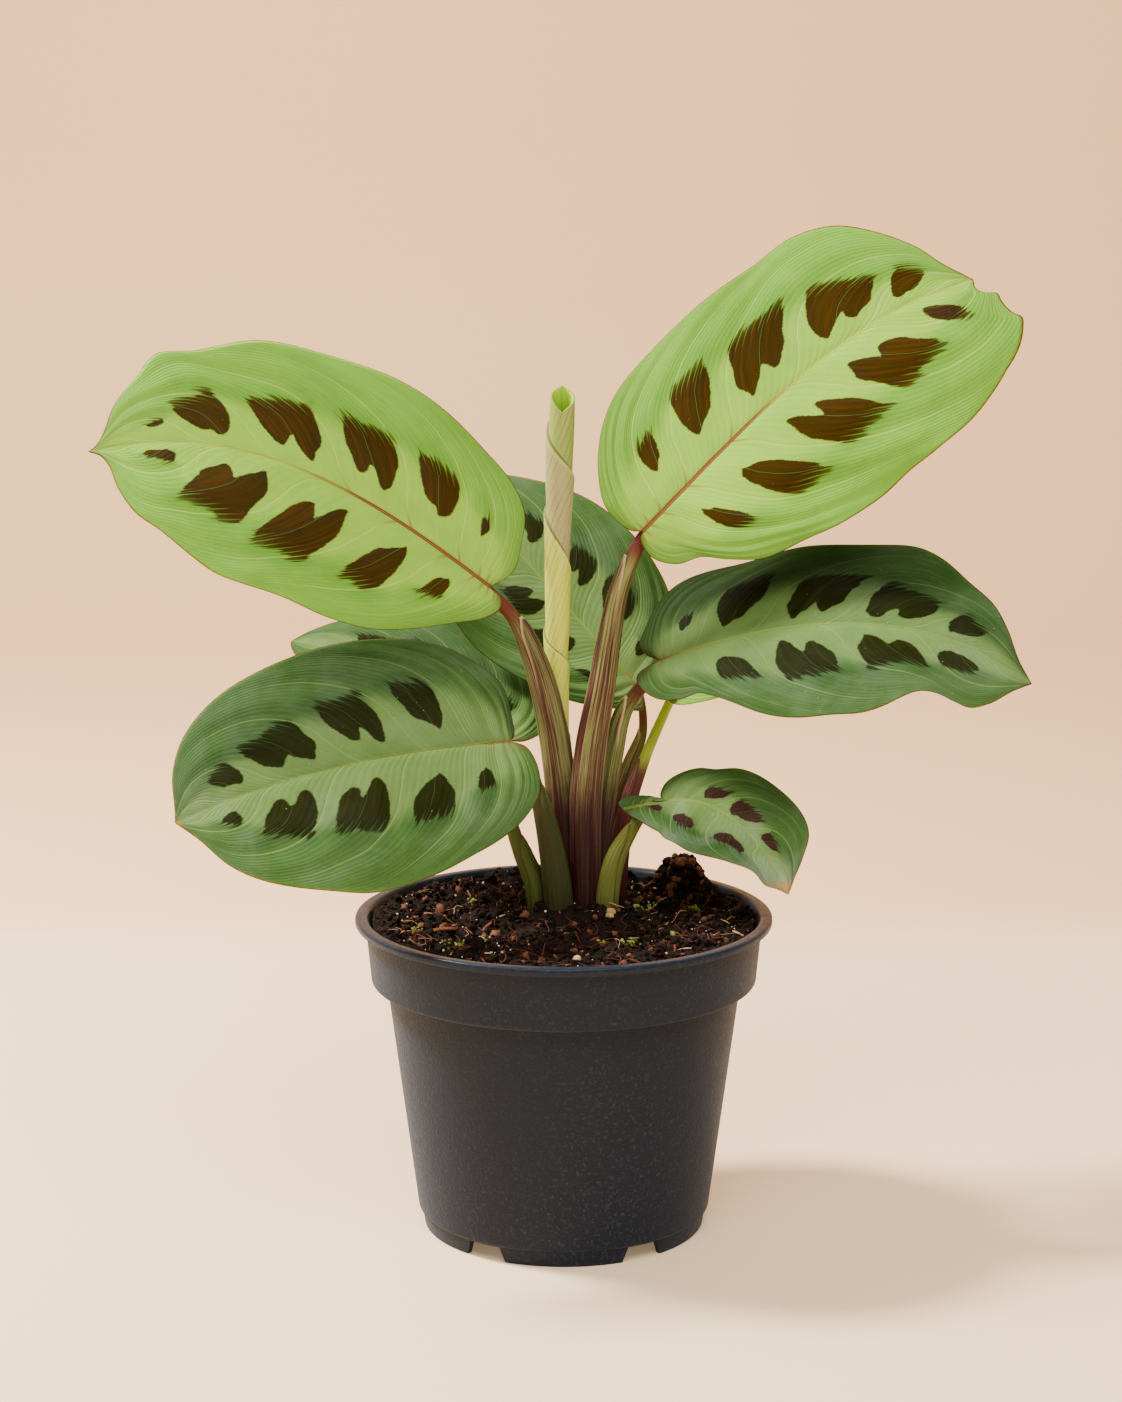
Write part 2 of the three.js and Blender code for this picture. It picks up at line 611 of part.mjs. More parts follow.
function soilGeometry(stalks) {
  const wall = (z) => [potInside(z) - GAP, z];
  const inLedge = LEDGE_HEIGHT + WALL + GAP;
  const profile = [
    wall(FLOOR_TOP + GAP),
    [potInside(LEDGE_HEIGHT) - GAP, LEDGE_HEIGHT],
    [potInside(LEDGE_HEIGHT) - GAP, inLedge],
    [potInside(inLedge) - GAP, inLedge],
  ];
  const rim = potInside(SOIL_LEVEL - 2) - GAP;
  const rings = profile.map(([radius, z]) => {
    const ring = [];
    for (let i = 0; i < SOIL_SECTORS; i += 1) {
      const angle = (2 * Math.PI * i) / SOIL_SECTORS;
      ring.push(vector([radius * Math.cos(angle), radius * Math.sin(angle), z]));
    }
    return ring;
  });
  for (let k = SOIL_RINGS; k > 0; k -= 1) {
    const radius = (rim * k) / SOIL_RINGS;
    const ring = [];
    for (let i = 0; i < SOIL_SECTORS; i += 1) {
      const angle = (2 * Math.PI * i) / SOIL_SECTORS;
      const x = radius * Math.cos(angle);
      const y = radius * Math.sin(angle);
      ring.push(vector([x, y, soilTop(x, y)]));
    }
    rings.push(ring);
  }
  const body = loft(rings, vector([0, 0, FLOOR_TOP + GAP]), vector([0, 0, soilTop(0, 0)]));
  let soil = solid(body).subtract(solid(rootGeometry(GAP)));
  for (const points of stalks) {
    const foot = [[...points[0].slice(0, 2), points[0][2] - 2 * GAP, points[0][3]], ...points.slice(1)];
    soil = soil.subtract(solid(stalkGeometry(foot, STALK_DEPTH, GAP)));
  }
  return fromSolid(soil);
}

// ---------------------------------------------------------------- the plant

const plant = new THREE.Group();
plant.name = 'potted_prayer_plant';

const stalks = LEAVES.map(leafStalk);
const rolledStalk = rooted(ROLLED.stalk);

plant.add(piece('pot', potGeometry(), PLASTIC));
plant.add(piece('soil', soilGeometry([...stalks, rolledStalk]), PEAT));
plant.add(piece('rootstock', rootGeometry(), ROOT));
LEAVES.forEach((leaf, i) => {
  plant.add(piece(`blade_${leaf.name}`, bladeGeometry(leaf), leaf.colour));
  plant.add(piece(`stalk_${leaf.name}`, stalkGeometry(stalks[i], STALK_DEPTH), leaf.stalkColour));
});
plant.add(piece('blade_rolled', rolledGeometry(), LIME));
plant.add(piece('stalk_rolled', stalkGeometry(rolledStalk, STALK_DEPTH), LIME));

export default plant;
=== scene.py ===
"""A potted prayer plant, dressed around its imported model.

Every blade, stalk and the rolled leaf is rebuilt finer on the same curves as its solid, the pot gets
its rounded lip and moulded grain, and the soil its crumbs, bark, grit, fibres and moss.
"""

import math

import bmesh
import bpy
import numpy as np
from bpy.props import FloatProperty, FloatVectorProperty, IntProperty, PointerProperty
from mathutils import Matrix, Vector, noise


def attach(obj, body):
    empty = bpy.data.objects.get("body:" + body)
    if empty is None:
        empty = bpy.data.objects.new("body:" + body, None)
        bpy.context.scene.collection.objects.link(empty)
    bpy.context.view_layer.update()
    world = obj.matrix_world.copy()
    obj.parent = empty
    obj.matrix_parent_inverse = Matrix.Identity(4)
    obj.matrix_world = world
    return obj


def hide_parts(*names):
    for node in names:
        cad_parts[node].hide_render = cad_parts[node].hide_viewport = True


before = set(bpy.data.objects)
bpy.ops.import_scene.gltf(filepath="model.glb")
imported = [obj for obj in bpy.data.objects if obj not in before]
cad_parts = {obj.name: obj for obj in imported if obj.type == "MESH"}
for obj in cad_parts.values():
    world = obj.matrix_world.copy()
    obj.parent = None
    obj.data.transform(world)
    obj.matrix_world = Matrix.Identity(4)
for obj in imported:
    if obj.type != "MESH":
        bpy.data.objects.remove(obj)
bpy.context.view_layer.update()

bl_info = {
    "name": "Potted prayer plant",
    "version": (1, 0, 0),
    "blender": (4, 5, 0),
    "location": "3D View > Sidebar > Prayer Plant",
    "description": "Blotched leaves, sheathed stalks, peat soil and a moulded nursery pot",
    "category": "Object",
}

BODY = "root"
MM = 0.001


# ---------------------------------------------------------------- the plant, in millimetres

# Each leaf has its midrib as a cubic curve of four points, the direction its upper face looks, and
# the outline of each half from the base round to the tip: (part of the midrib's length, distance
# from the midrib). Left and right are as seen on the upper face with the tip up. fold lifts both
# halves per mm from the midrib, arch lets them curve down again, wave is the margin's ripple.
# stalk lists x, y, z and half width from the soil up; sheath is the height of the sheath's free tip,
# the side it stands on, -1 for left and 1 for right, and the mm over which it narrows.
# Each blotch is (first and last place round the margin, inner and outer end from midrib to margin).
LEAVES = {
    "upper_left": dict(
        look="bright",
        midrib=[(-21, 6, 186), (-51, 1, 210), (-87.5, -6.5, 237.5), (-130.14, -20, 227.2)],
        face=(0.32, -0.8, 0.5), fold=0.1, arch=2, wave=(0.9, 3.5),
        left=[
            (-0.04, 1), (-0.05, 4), (-0.025, 10), (0.035, 17), (0.12, 26.5), (0.21, 34), (0.31, 37.5),
            (0.45, 38.5), (0.6, 40), (0.7, 38.5), (0.8, 33), (0.88, 26.5), (0.935, 21), (0.962, 13),
            (0.968, 5.5), (0.98, 2),
        ],
        right=[
            (-0.02, 4), (-0.03, 9), (-0.01, 17), (0.025, 26), (0.09, 32), (0.18, 35.5), (0.3, 38.5),
            (0.42, 39.5), (0.54, 37.5), (0.66, 34.5), (0.77, 28), (0.84, 26.5), (0.88, 19.5), (0.93, 11.5),
            (0.96, 4.5), (0.98, 1.4),
        ],
        blotches_left=[
            (0.25, 0.32, 0.17, 0.42), (0.4, 0.49, 0.14, 0.62), (0.56, 0.68, 0.14, 0.65),
            (0.72, 0.84, 0.13, 0.65), (0.88, 0.93, 0.14, 0.34),
        ],
        blotches_right=[
            (0.23, 0.27, 0.28, 0.46), (0.35, 0.46, 0.18, 0.53), (0.51, 0.615, 0.13, 0.53),
            (0.66, 0.76, 0.11, 0.54), (0.8, 0.87, 0.11, 0.6), (0.89, 0.92, 0.3, 0.43),
        ],
        stalk=[
            (0.6, 14, 88, 4.2), (0.3, 14.2, 107, 4.3), (-0.7, 14, 122, 4.4), (-3.2, 13.3, 142, 4.2),
            (-7, 12.2, 159, 3.7), (-11, 11, 170, 2.9), (-14.7, 10, 177, 2.1),
        ],
        sheath=(175.9, 1, 5),
    ),
    "upper_right": dict(
        look="bright",
        midrib=[(22.5, 12, 201), (50, 17, 228.5), (78, 23, 261), (117, 28, 271.5)],
        face=(-0.17, -0.89, 0.43), fold=0.08, arch=3, wave=(0.9, 4),
        left=[
            (-0.02, 3), (-0.02, 13), (0.035, 23), (0.11, 30.5), (0.2, 35.5), (0.3, 37.5), (0.45, 37.5),
            (0.6, 36.5), (0.7, 37), (0.78, 33), (0.84, 26), (0.91, 15.5), (0.95, 7),
        ],
        right=[
            (-0.02, 1.5), (-0.03, 8), (0, 14.5), (0.05, 18), (0.09, 24), (0.15, 31), (0.25, 36),
            (0.34, 40), (0.46, 42), (0.57, 41.5), (0.68, 41.5), (0.81, 39.5), (0.92, 35), (1, 29.5),
            (1.05, 23.5), (1.072, 18.5), (1.078, 15.6), (1.058, 12.8), (1.046, 9), (1.043, 6.2),
            (1.012, 4.6), (0.998, 2.6), (1, 1.1),
        ],
        blotches_left=[
            (0.29, 0.355, 0.22, 0.5), (0.43, 0.53, 0.18, 0.59), (0.58, 0.7, 0.12, 0.56),
            (0.74, 0.85, 0.13, 0.58), (0.875, 0.925, 0.17, 0.72),
        ],
        blotches_right=[
            (0.29, 0.35, 0.19, 0.53), (0.43, 0.52, 0.16, 0.59), (0.58, 0.69, 0.17, 0.57),
            (0.73, 0.84, 0.16, 0.58), (0.88, 0.925, 0.17, 0.67),
        ],
        stalk=[
            (6.8, 8.8, 88, 4.1), (6.4, 9.3, 107, 4.3), (6.6, 9.8, 124, 4.5), (8.2, 10.3, 140, 4.3),
            (10.7, 11, 154, 3.8), (13.2, 12, 170, 3.2), (15.7, 12.6, 183, 2.6), (19.8, 13.5, 194, 2.2),
        ],
        sheath=(193.1, -1, 15),
    ),
    "middle_right": dict(
        look="deep",
        midrib=[(27.5, 10, 164), (59.5, 0, 178), (99.5, -11, 186), (129.5, -22, 163)],
        face=(-0.19, -0.62, 0.76), fold=0.02, arch=3, wave=(1.1, 4.5),
        left=[
            (-0.035, 3.5), (-0.055, 8.5), (-0.04, 15), (0, 23.5), (0.05, 27.5), (0.13, 30),
            (0.25, 31.5), (0.4, 32), (0.53, 33.5), (0.61, 32.5), (0.68, 28.5), (0.75, 23), (0.82, 18),
            (0.88, 11), (0.94, 4),
        ],
        right=[
            (-0.03, 0.5), (-0.06, 1.5), (-0.07, 4), (-0.05, 9.5), (-0.01, 14), (0.05, 16), (0.1, 16),
            (0.14, 18.5), (0.19, 22.5), (0.26, 27), (0.35, 30), (0.45, 32), (0.56, 30.5), (0.66, 26),
            (0.75, 20), (0.8, 18.5), (0.86, 18), (0.91, 17), (0.95, 12.5), (0.975, 6),
        ],
        blotches_left=[
            (0.22, 0.275, 0.24, 0.42), (0.35, 0.47, 0.12, 0.64), (0.54, 0.66, 0.08, 0.53),
            (0.7, 0.81, 0.09, 0.54), (0.84, 0.895, 0.13, 0.64),
        ],
        blotches_right=[
            (0.34, 0.45, 0.19, 0.49), (0.51, 0.64, 0.15, 0.56), (0.69, 0.81, 0.17, 0.6),
            (0.84, 0.91, 0.18, 0.5),
        ],
        stalk=[
            (9.8, 16.2, 88, 3.3), (10.2, 16.6, 107, 3.3), (12, 16.6, 121, 3.2), (14.5, 16.3, 136, 2.9),
            (17.5, 15.8, 148, 2.3), (22.5, 14.5, 155.5, 2),
        ],
        sheath=(151.7, -1, 6),
    ),
    "lower_left": dict(
        look="deep",
        midrib=[(-15.5, -6, 143.5), (-46, -20, 143.5), (-77, -34.5, 141), (-105, -50, 130)],
        face=(0.26, -0.72, 0.65), fold=0.05, arch=3, wave=(0.8, 3),
        left=[
            (-0.02, 0.5), (-0.045, 2), (-0.06, 6), (-0.06, 12.5), (-0.04, 18), (0.03, 25), (0.12, 30),
            (0.2, 33), (0.3, 36), (0.42, 37.5), (0.55, 37.5), (0.67, 34.5), (0.78, 30), (0.87, 24),
            (0.93, 17), (0.965, 8),
        ],
        right=[
            (-0.02, 1.5), (-0.03, 7.5), (-0.03, 18.5), (0.02, 26.5), (0.09, 34), (0.17, 38),
            (0.27, 39.5), (0.38, 39.5), (0.5, 38.5), (0.6, 36.5), (0.7, 33), (0.8, 27.5), (0.88, 21),
            (0.94, 13), (0.98, 4),
        ],
        blotches_left=[
            (0.25, 0.32, 0.22, 0.44), (0.4, 0.52, 0.18, 0.52), (0.58, 0.7, 0.14, 0.54),
            (0.74, 0.84, 0.14, 0.57), (0.88, 0.92, 0.22, 0.48),
        ],
        blotches_right=[
            (0.36, 0.47, 0.14, 0.54), (0.54, 0.65, 0.12, 0.52), (0.7, 0.82, 0.11, 0.52),
            (0.85, 0.905, 0.16, 0.54),
        ],
        stalk=[
            (-1.4, 5.5, 88, 4.1), (-2.3, 5.5, 100, 4), (-3.8, 5, 110, 3.5), (-5.6, 3.8, 119, 2.9),
            (-8.3, 1.5, 130, 2.1), (-12, -2, 138.5, 1.9),
        ],
        sheath=(129.1, 1, 8),
    ),
    "small_lower_right": dict(
        look="small",
        midrib=[(28.5, 2, 124.5), (44.5, -5, 129.5), (57, -14, 116), (63, -22, 103)],
        face=(0, -0.66, 0.75), fold=0.12, arch=2, wave=(0.7, 3),
        left=[
            (-0.02, 2), (0, 5.5), (0.06, 9), (0.14, 11.5), (0.22, 12), (0.32, 14.8), (0.44, 16.5),
            (0.6, 16.5), (0.75, 14), (0.84, 9), (0.92, 4),
        ],
        right=[
            (-0.05, -0.3), (-0.12, -2), (-0.21, -4), (-0.27, -2.5), (-0.21, 2), (-0.12, 6), (0, 11.5),
            (0.12, 16), (0.28, 17.5), (0.42, 17.3), (0.55, 15), (0.68, 11), (0.8, 6.5), (0.9, 5.3),
            (0.95, 2.5),
        ],
        blotches_left=[(0.42, 0.53, 0.08, 0.36), (0.58, 0.71, 0.04, 0.38), (0.76, 0.84, 0.1, 0.42)],
        blotches_right=[(0.2, 0.29, 0.44, 0.66), (0.38, 0.54, 0.34, 0.62), (0.65, 0.79, 0.27, 0.55)],
        stalk=[
            (12.6, 4, 88, 3.1), (13, 4.4, 97, 3.1), (15, 5, 106.5, 2.8), (18.5, 5.2, 113.5, 2.1),
            (23, 4.6, 120, 1.6),
        ],
        sheath=(116.3, -1, 6),
    ),
    "back_centre": dict(
        look="deep",
        midrib=[(22.5, 28, 152), (4.5, 38, 171.5), (-15, 48, 191), (-35, 59, 214)],
        face=(0.04, -0.87, 0.49), fold=0.05, arch=2, wave=(0.8, 3),
        left=[
            (-0.03, 1), (-0.06, 3.5), (-0.01, 8.5), (0.06, 14), (0.13, 18.5), (0.22, 22.5), (0.32, 26),
            (0.44, 28.5), (0.57, 28.5), (0.7, 26.5), (0.81, 21.5), (0.91, 13), (0.97, 5),
        ],
        right=[
            (-0.03, 1.5), (-0.04, 6), (-0.01, 11), (0.05, 17), (0.12, 22), (0.22, 27), (0.34, 29.5),
            (0.45, 30), (0.55, 29.5), (0.65, 27), (0.75, 21.5), (0.85, 14), (0.93, 7), (0.975, 3),
        ],
        blotches_left=[
            (0.3, 0.37, 0.28, 0.4), (0.45, 0.56, 0.14, 0.46), (0.61, 0.7, 0.13, 0.42),
            (0.76, 0.84, 0.14, 0.46),
        ],
        blotches_right=[
            (0.26, 0.32, 0.2, 0.34), (0.41, 0.54, 0.17, 0.56), (0.58, 0.67, 0.22, 0.52),
            (0.75, 0.83, 0.2, 0.54),
        ],
        stalk=[
            (9.8, 23, 88, 2.8), (11.8, 23.5, 105, 2.7), (15.2, 25, 118, 2.4), (19.5, 27, 130, 1.9),
            (23.2, 29.5, 139.5, 1.3),
        ],
        sheath=(139.7, -1, 5),
    ),
    "back_left": dict(
        look="deep",
        midrib=[(-15, 15, 139.5), (-36, 27.5, 152), (-60, 41.5, 163), (-82, 54.5, 162)],
        face=(0.35, -0.5, 0.79), fold=0.22, arch=1, wave=(0.8, 2.5),
        left=[
            (-0.03, 2), (-0.06, 8), (-0.04, 15), (0.04, 21), (0.14, 25), (0.28, 27.5), (0.42, 28),
            (0.56, 26.5), (0.7, 22.5), (0.82, 16), (0.91, 9), (0.97, 3.5),
        ],
        right=[
            (-0.03, 2), (-0.05, 8), (-0.02, 15), (0.06, 21.5), (0.16, 25.5), (0.3, 28), (0.45, 28),
            (0.6, 25.5), (0.73, 21), (0.84, 14.5), (0.92, 8), (0.975, 3),
        ],
        blotches_left=[
            (0.28, 0.35, 0.2, 0.42), (0.42, 0.53, 0.16, 0.54), (0.58, 0.7, 0.14, 0.54),
            (0.75, 0.84, 0.14, 0.52),
        ],
        blotches_right=[
            (0.27, 0.34, 0.2, 0.42), (0.41, 0.52, 0.16, 0.52), (0.57, 0.69, 0.14, 0.54),
            (0.74, 0.83, 0.14, 0.52),
        ],
        stalk=[
            (-7.5, 10.5, 88, 3), (-8.6, 10.7, 98, 3), (-12.2, 11.4, 107, 2.5), (-15.3, 12.5, 116, 1.8),
            (-16.3, 14.5, 128, 1.5),
        ],
        sheath=(111.3, 1, 6),
    ),
    "back_right": dict(
        look="bright",
        midrib=[(31, 34.5, 150), (42, 40, 158.5), (54, 45.5, 160.5), (67, 51.5, 149)],
        face=(-0.2, -0.4, 0.89), fold=0.15, arch=1.5, wave=(0.6, 2.5),
        left=[
            (-0.04, 2), (-0.06, 6), (-0.03, 11), (0.05, 15), (0.15, 17.5), (0.3, 19), (0.45, 19),
            (0.6, 17.5), (0.74, 14), (0.85, 9.5), (0.93, 5), (0.975, 2),
        ],
        right=[
            (-0.04, 2), (-0.06, 6), (-0.03, 10.5), (0.05, 14.5), (0.15, 17), (0.3, 18.5), (0.45, 18.5),
            (0.6, 17), (0.74, 13.5), (0.85, 9), (0.93, 4.5), (0.975, 2),
        ],
        blotches_left=[(0.3, 0.38, 0.2, 0.44), (0.46, 0.58, 0.16, 0.52), (0.64, 0.75, 0.15, 0.52)],
        blotches_right=[(0.31, 0.39, 0.2, 0.42), (0.47, 0.58, 0.16, 0.52), (0.64, 0.74, 0.15, 0.5)],
        stalk=[
            (16, 17.5, 88, 2.4), (16.6, 18.3, 104, 2.5), (19, 21, 119, 2.3), (24.2, 26, 133, 1.6),
        ],
        sheath=(130.9, -1, 13),
    ),
}

ROLLED_STALK = [
    (3, 20.5, 88, 2.6), (2.4, 20.4, 104, 2.7), (1, 20, 121, 2.8), (-0.7, 19.5, 137.6, 2.9),
]
ROLLED_BLADE = [  # x, y, z and radius
    (-1, 19.3, 140.6, 2.9), (-1.9, 18.3, 153, 3.4), (-2, 17.2, 171, 3.5), (-1.8, 15.8, 192, 3.6),
    (-1.3, 14.4, 215, 3.9), (-0.8, 13.3, 231, 3.8), (-0.5, 12.8, 240, 3.6),
]

GAP = 0.3  # clear distance between neighbouring solids
VEIN_SWEEP = 1.85  # how far the mesh rows sweep on towards the tip
VEIN_LEAN = 0.5  # and how they bend on their way from midrib to margin
VEIN_SPREAD = 1.2
VEIN_START = 0.035  # how far the drawn veins lean at the midrib
VEIN_END = 0.26  # and near the margin
WIDE = 30  # distance from the midrib at which arch is stated
STALK_DEPTH = 0.75  # depth of a stalk's section, for a width of 1
STALK_TAPER = 0.8  # width of a stalk's root and of its end, next to the stretch between
ROOT_TOP = 70  # where the rootstock ends and the stalks begin
CAD_BLADE = 0.8  # thickness of the solid blades

# the rolled leaf
ROLL_OVERLAP = 0.75
# height of the free edge, and its turn from +X counter-clockwise from above, as it winds down
ROLL_EDGE = [
    (244, 0.2), (236, 0.34), (230, 0.5), (216, 1), (207.5, 1.5), (189.6, 2), (170.5, 2.5), (162, 3),
    (140, 3.5),
]
ROLL_SWELL = [(141, 0.05), (155, 0.25), (171, 0.5), (192, 0.45), (215, 0.5), (231, 0.4), (240, 0.25)]
ROLL_RIM = [-1.1, 2.2, 0, -4.8, -1.1]  # rim's height at +X and each further quarter turn
ROLL_RIM_DEPTH = 13  # how far below the rim the blade still bends to follow it
ROLL_MOUTH = 9
ROLL_WALL = 0.5

# the pot, radius and height
POT_HEIGHT = 92
RIM_RADIUS = 60
LIP_HEIGHT = 2.1
BAND_TOP_RADIUS = 57
BAND_FOOT_RADIUS = 55.4
LEDGE_HEIGHT = 72.8
BODY_TOP_RADIUS = 51
BODY_FOOT_RADIUS = 42.3
STEP_HEIGHT = 5.4
FOOT_TOP_RADIUS = 41.4
FOOT_RADIUS = 40.6
FOOT_WALL = 1.8
WALL = 1.3
NOTCH_AZIMUTHS = (-123, -57, 15, 90, 165)
NOTCH_HEIGHT = 4.6
NOTCH_WIDE = 13.5
NOTCH_NARROW = 10
NOTCH_REACH = 8
DRAIN_RADIUS = 3.2
DRAIN_RING = 27
FLOOR_TOP = STEP_HEIGHT + 1
POT_CREASE = 38  # edges of the pot that turn by more degrees than this stay crisp

# the soil: its level, the mound where the stalks leave it, and x, y, height, spread of each lump
SOIL_LEVEL = 88.9
CROWN = (4, 14)
CROWN_MOUND = 1.8
CROWN_SPREAD = 17
LUMPS = [
    (36, 37, 9, 8), (-31, 33, 1.6, 12), (-20, -34, 1.8, 9), (24, -36, 1.2, 8), (-18, -6, -2.4, 9),
    (-47, 6, 1.5, 8), (13.5, -0.5, 4.2, 6.5), (3, 2.5, 2, 8), (-8, 5.5, 1.4, 5),
]


def colour(red, green, blue):
    """The linear colour that shows as these 8-bit values."""
    def linear(value):
        value /= 255
        return value / 12.92 if value <= 0.04045 else ((value + 0.055) / 1.055) ** 2.4
    return linear(red), linear(green), linear(blue)


def shade(name, description, red, green, blue):
    return FloatVectorProperty(
        name=name, description=description, default=colour(red, green, blue),
        subtype="COLOR", size=3, min=0, max=1,
    )


def length(name, description, millimetres):
    return FloatProperty(name=name, description=description, default=millimetres * MM, unit="LENGTH")


# ---------------------------------------------------------------- what a user can change

class LeafSettings(bpy.types.PropertyGroup):
    thickness: length("Thickness", "Thickness of a blade between its veins", 0.45)
    quilt: length("Quilting", "How far the panels between side veins rise", 0.5)
    ridge: length("Midrib ridge", "Depth of the midrib under the blade's base", 0.9)
    groove: length("Midrib groove", "Depth of the channel on the upper face", 0.25)
    rows: IntProperty(name="Rows", description="Mesh rows from base to tip", default=200, min=20)
    steps: IntProperty(name="Steps", description="Mesh steps from midrib to margin", default=52, min=8)
    bright: shade("Bright green", "The upper leaves", 118, 169, 55)
    bright_low: shade("Bright green, shaded part", "Darker clouds on the upper leaves", 93, 147, 46)
    bright_pale: shade("Bright pale zone", "Along the midrib of the upper leaves", 148, 192, 62)
    deep: shade("Deep green", "The lower leaves", 68, 100, 48)
    deep_low: shade("Deep green, shaded part", "Darker clouds on the lower leaves", 48, 80, 36)
    deep_pale: shade("Deep pale zone", "Along the midrib of the lower leaves", 104, 132, 70)
    vein: shade("Side veins", "Thin pale lines", 182, 206, 100)
    vein_deep: shade("Side veins, lower leaves", "Thin pale lines", 122, 150, 76)
    blotch_brown: shade("Blotch, brown", "Blotches of the upper leaves", 50, 23, 0)
    blotch_olive: shade("Blotch, olive black", "Blotches of the lower leaves", 25, 26, 2)
    blotch_plum: shade("Blotch, plum", "Blotches of the small leaf and blotch edges", 46, 19, 20)
    midrib_red: shade("Midrib, maroon", "The midrib near the base", 114, 56, 34)
    midrib_yellow: shade("Midrib, yellow green", "The midrib towards the tip", 168, 182, 60)
    midrib_olive: shade("Midrib, olive", "The midrib of the lower leaves", 120, 140, 58)
    underside: shade("Underside", "The lower face", 132, 156, 112)
    underside_pale: shade("Underside, pale", "The lower face along its veins", 168, 186, 146)


class StalkSettings(bpy.types.PropertyGroup):
    rib: length("Rib height", "Height of the lengthwise ribs", 0.1)
    sheath_wall: length("Sheath wall", "Thickness of the sheath", 0.6)
    crown: shade("Crown", "Crimson base of the youngest stalk", 66, 14, 30)
    dry_edge: shade("Dry edge", "Thin dried margin of a sheath", 178, 152, 112)


class RolledSettings(bpy.types.PropertyGroup):
    lime: shade("Lime", "Lower part of the rolled leaf", 202, 212, 78)
    mauve: shade("Mauve grey", "Its middle, the leaf's underside", 166, 158, 108)
    ash: shade("Ash green", "Its top", 142, 162, 76)
    mouth: shade("Mouth", "Green inside of the funnel", 150, 190, 30)
    line: shade("Lines", "Slanting veins and free edge", 92, 84, 44)


class PotSettings(bpy.types.PropertyGroup):
    sides: IntProperty(name="Sides", description="Segments round the pot", default=224, min=32)
    plastic: shade("Plastic", "Moulded plastic", 20, 26, 37)
    dust: shade("Dust", "Pale dust in the grain", 72, 78, 94)


class SoilSettings(bpy.types.PropertyGroup):
    rough: length("Roughness", "Height of the soil's crumbling", 2.6)
    crumbs: IntProperty(name="Crumbs", description="Loose crumbs of peat", default=2500, min=0)
    flakes: IntProperty(name="Bark flakes", description="Flakes and strips of bark", default=170, min=0)
    grit: IntProperty(name="Grit", description="Pale grains", default=190, min=0)
    fibres: IntProperty(name="Fibres", description="Fine roots and fibres", default=170, min=0)
    peat: shade("Peat", "Moist peat", 15, 8, 5)
    peat_light: shade("Peat, dry", "Drier crumbs", 60, 33, 19)
    bark: shade("Bark", "Reddish bark", 104, 56, 34)
    wood: shade("Wood chip", "Pale chips", 206, 168, 120)
    sand: shade("Sand", "Pale grains", 226, 212, 186)
    moss: shade("Moss", "Green growth on the peat", 128, 150, 60)
    root: shade("Rootstock", "Skin of the rootstock", 150, 116, 78)


class StageSettings(bpy.types.PropertyGroup):
    backdrop: shade("Floor", "Floor in front", 250, 216, 174)
    wall: shade("Wall", "Backdrop behind the plant", 249, 202, 151)
    glow: FloatProperty(name="Backdrop glow", description="Light of the backdrop itself", default=0.25)
    key: FloatProperty(name="Key light", description="Watts of the key light", default=39)
    fill: FloatProperty(name="Fill light", description="Watts of the fill light", default=16)
    sky: FloatProperty(name="Sky", description="Strength of the even light", default=0.5)


GROUPS = {
    "leaf": LeafSettings, "stalk": StalkSettings, "rolled": RolledSettings, "pot": PotSettings,
    "soil": SoilSettings, "stage": StageSettings,
}


def settings(name):
    return getattr(bpy.context.scene, "prayer_plant_" + name)


# ---------------------------------------------------------------- curves and surfaces

def unit(vectors):
    return vectors / np.linalg.norm(vectors, axis=-1, keepdims=True)


def through(points, places):
    """Points at places 0 to 1 of the centripetal Catmull-Rom curve through the given points."""
    points = np.array(points, float)
    last = len(points) - 1
    ends = np.vstack([2 * points[0] - points[1], points, 2 * points[-1] - points[-2]])
    scaled = np.clip(np.asarray(places, float), 0, 1) * last
    first = np.minimum(scaled.astype(int), last - 1)
    part = (scaled - first)[:, None]
    a, b, c, d = (ends[first + k] for k in range(4))
    ab, bc, cd = (np.linalg.norm(q - p, axis=1, keepdims=True) ** 0.5 for p, q in ((a, b), (b, c), (c, d)))
    ab = np.where(ab < 1e-4, bc, ab)
    cd = np.where(cd < 1e-4, bc, cd)
    leave = ((b - a) / ab - (c - a) / (ab + bc) + (c - b) / bc) * bc
    arrive = ((c - b) / bc - (d - b) / (bc + cd) + (d - c) / cd) * bc
    bend = -3 * b + 3 * c - 2 * leave - arrive
    twist = 2 * b - 2 * c + leave + arrive
    return b + leave * part + bend * part ** 2 + twist * part ** 3


def bezier(points, part):
    a, b, c, d = (np.array(p, float) for p in points)
    t = np.asarray(part, float)[..., None]
    return (1 - t) ** 3 * a + 3 * (1 - t) ** 2 * t * b + 3 * (1 - t) * t ** 2 * c + t ** 3 * d


def bezier_rate(points, part):
    a, b, c, d = (np.array(p, float) for p in points)
    t = np.asarray(part, float)[..., None]
    return 3 * (1 - t) ** 2 * (b - a) + 6 * (1 - t) * t * (c - b) + 3 * t ** 2 * (d - c)


def curve_length(points):
    line = bezier(points, np.linspace(0, 1, 400))
    return np.linalg.norm(np.diff(line, axis=0), axis=1).sum()


def blade_points(leaf, part, left, lift):
    """Points of a blade, from part of the midrib's length, mm to the left and lift above the middle."""
    inside = np.clip(part, 0, 1)
    rate = bezier_rate(leaf["midrib"], inside)
    along = unit(rate)
    across = unit(np.cross(np.array(leaf["face"]), along))
    out = np.cross(along, across)
    away = np.abs(left)
    height = leaf["fold"] * away - leaf["arch"] * (away / WIDE) ** 2 + lift
    middle = bezier(leaf["midrib"], inside) + rate * (part - inside)[..., None]
    return middle + left[..., None] * across + height[..., None] * out


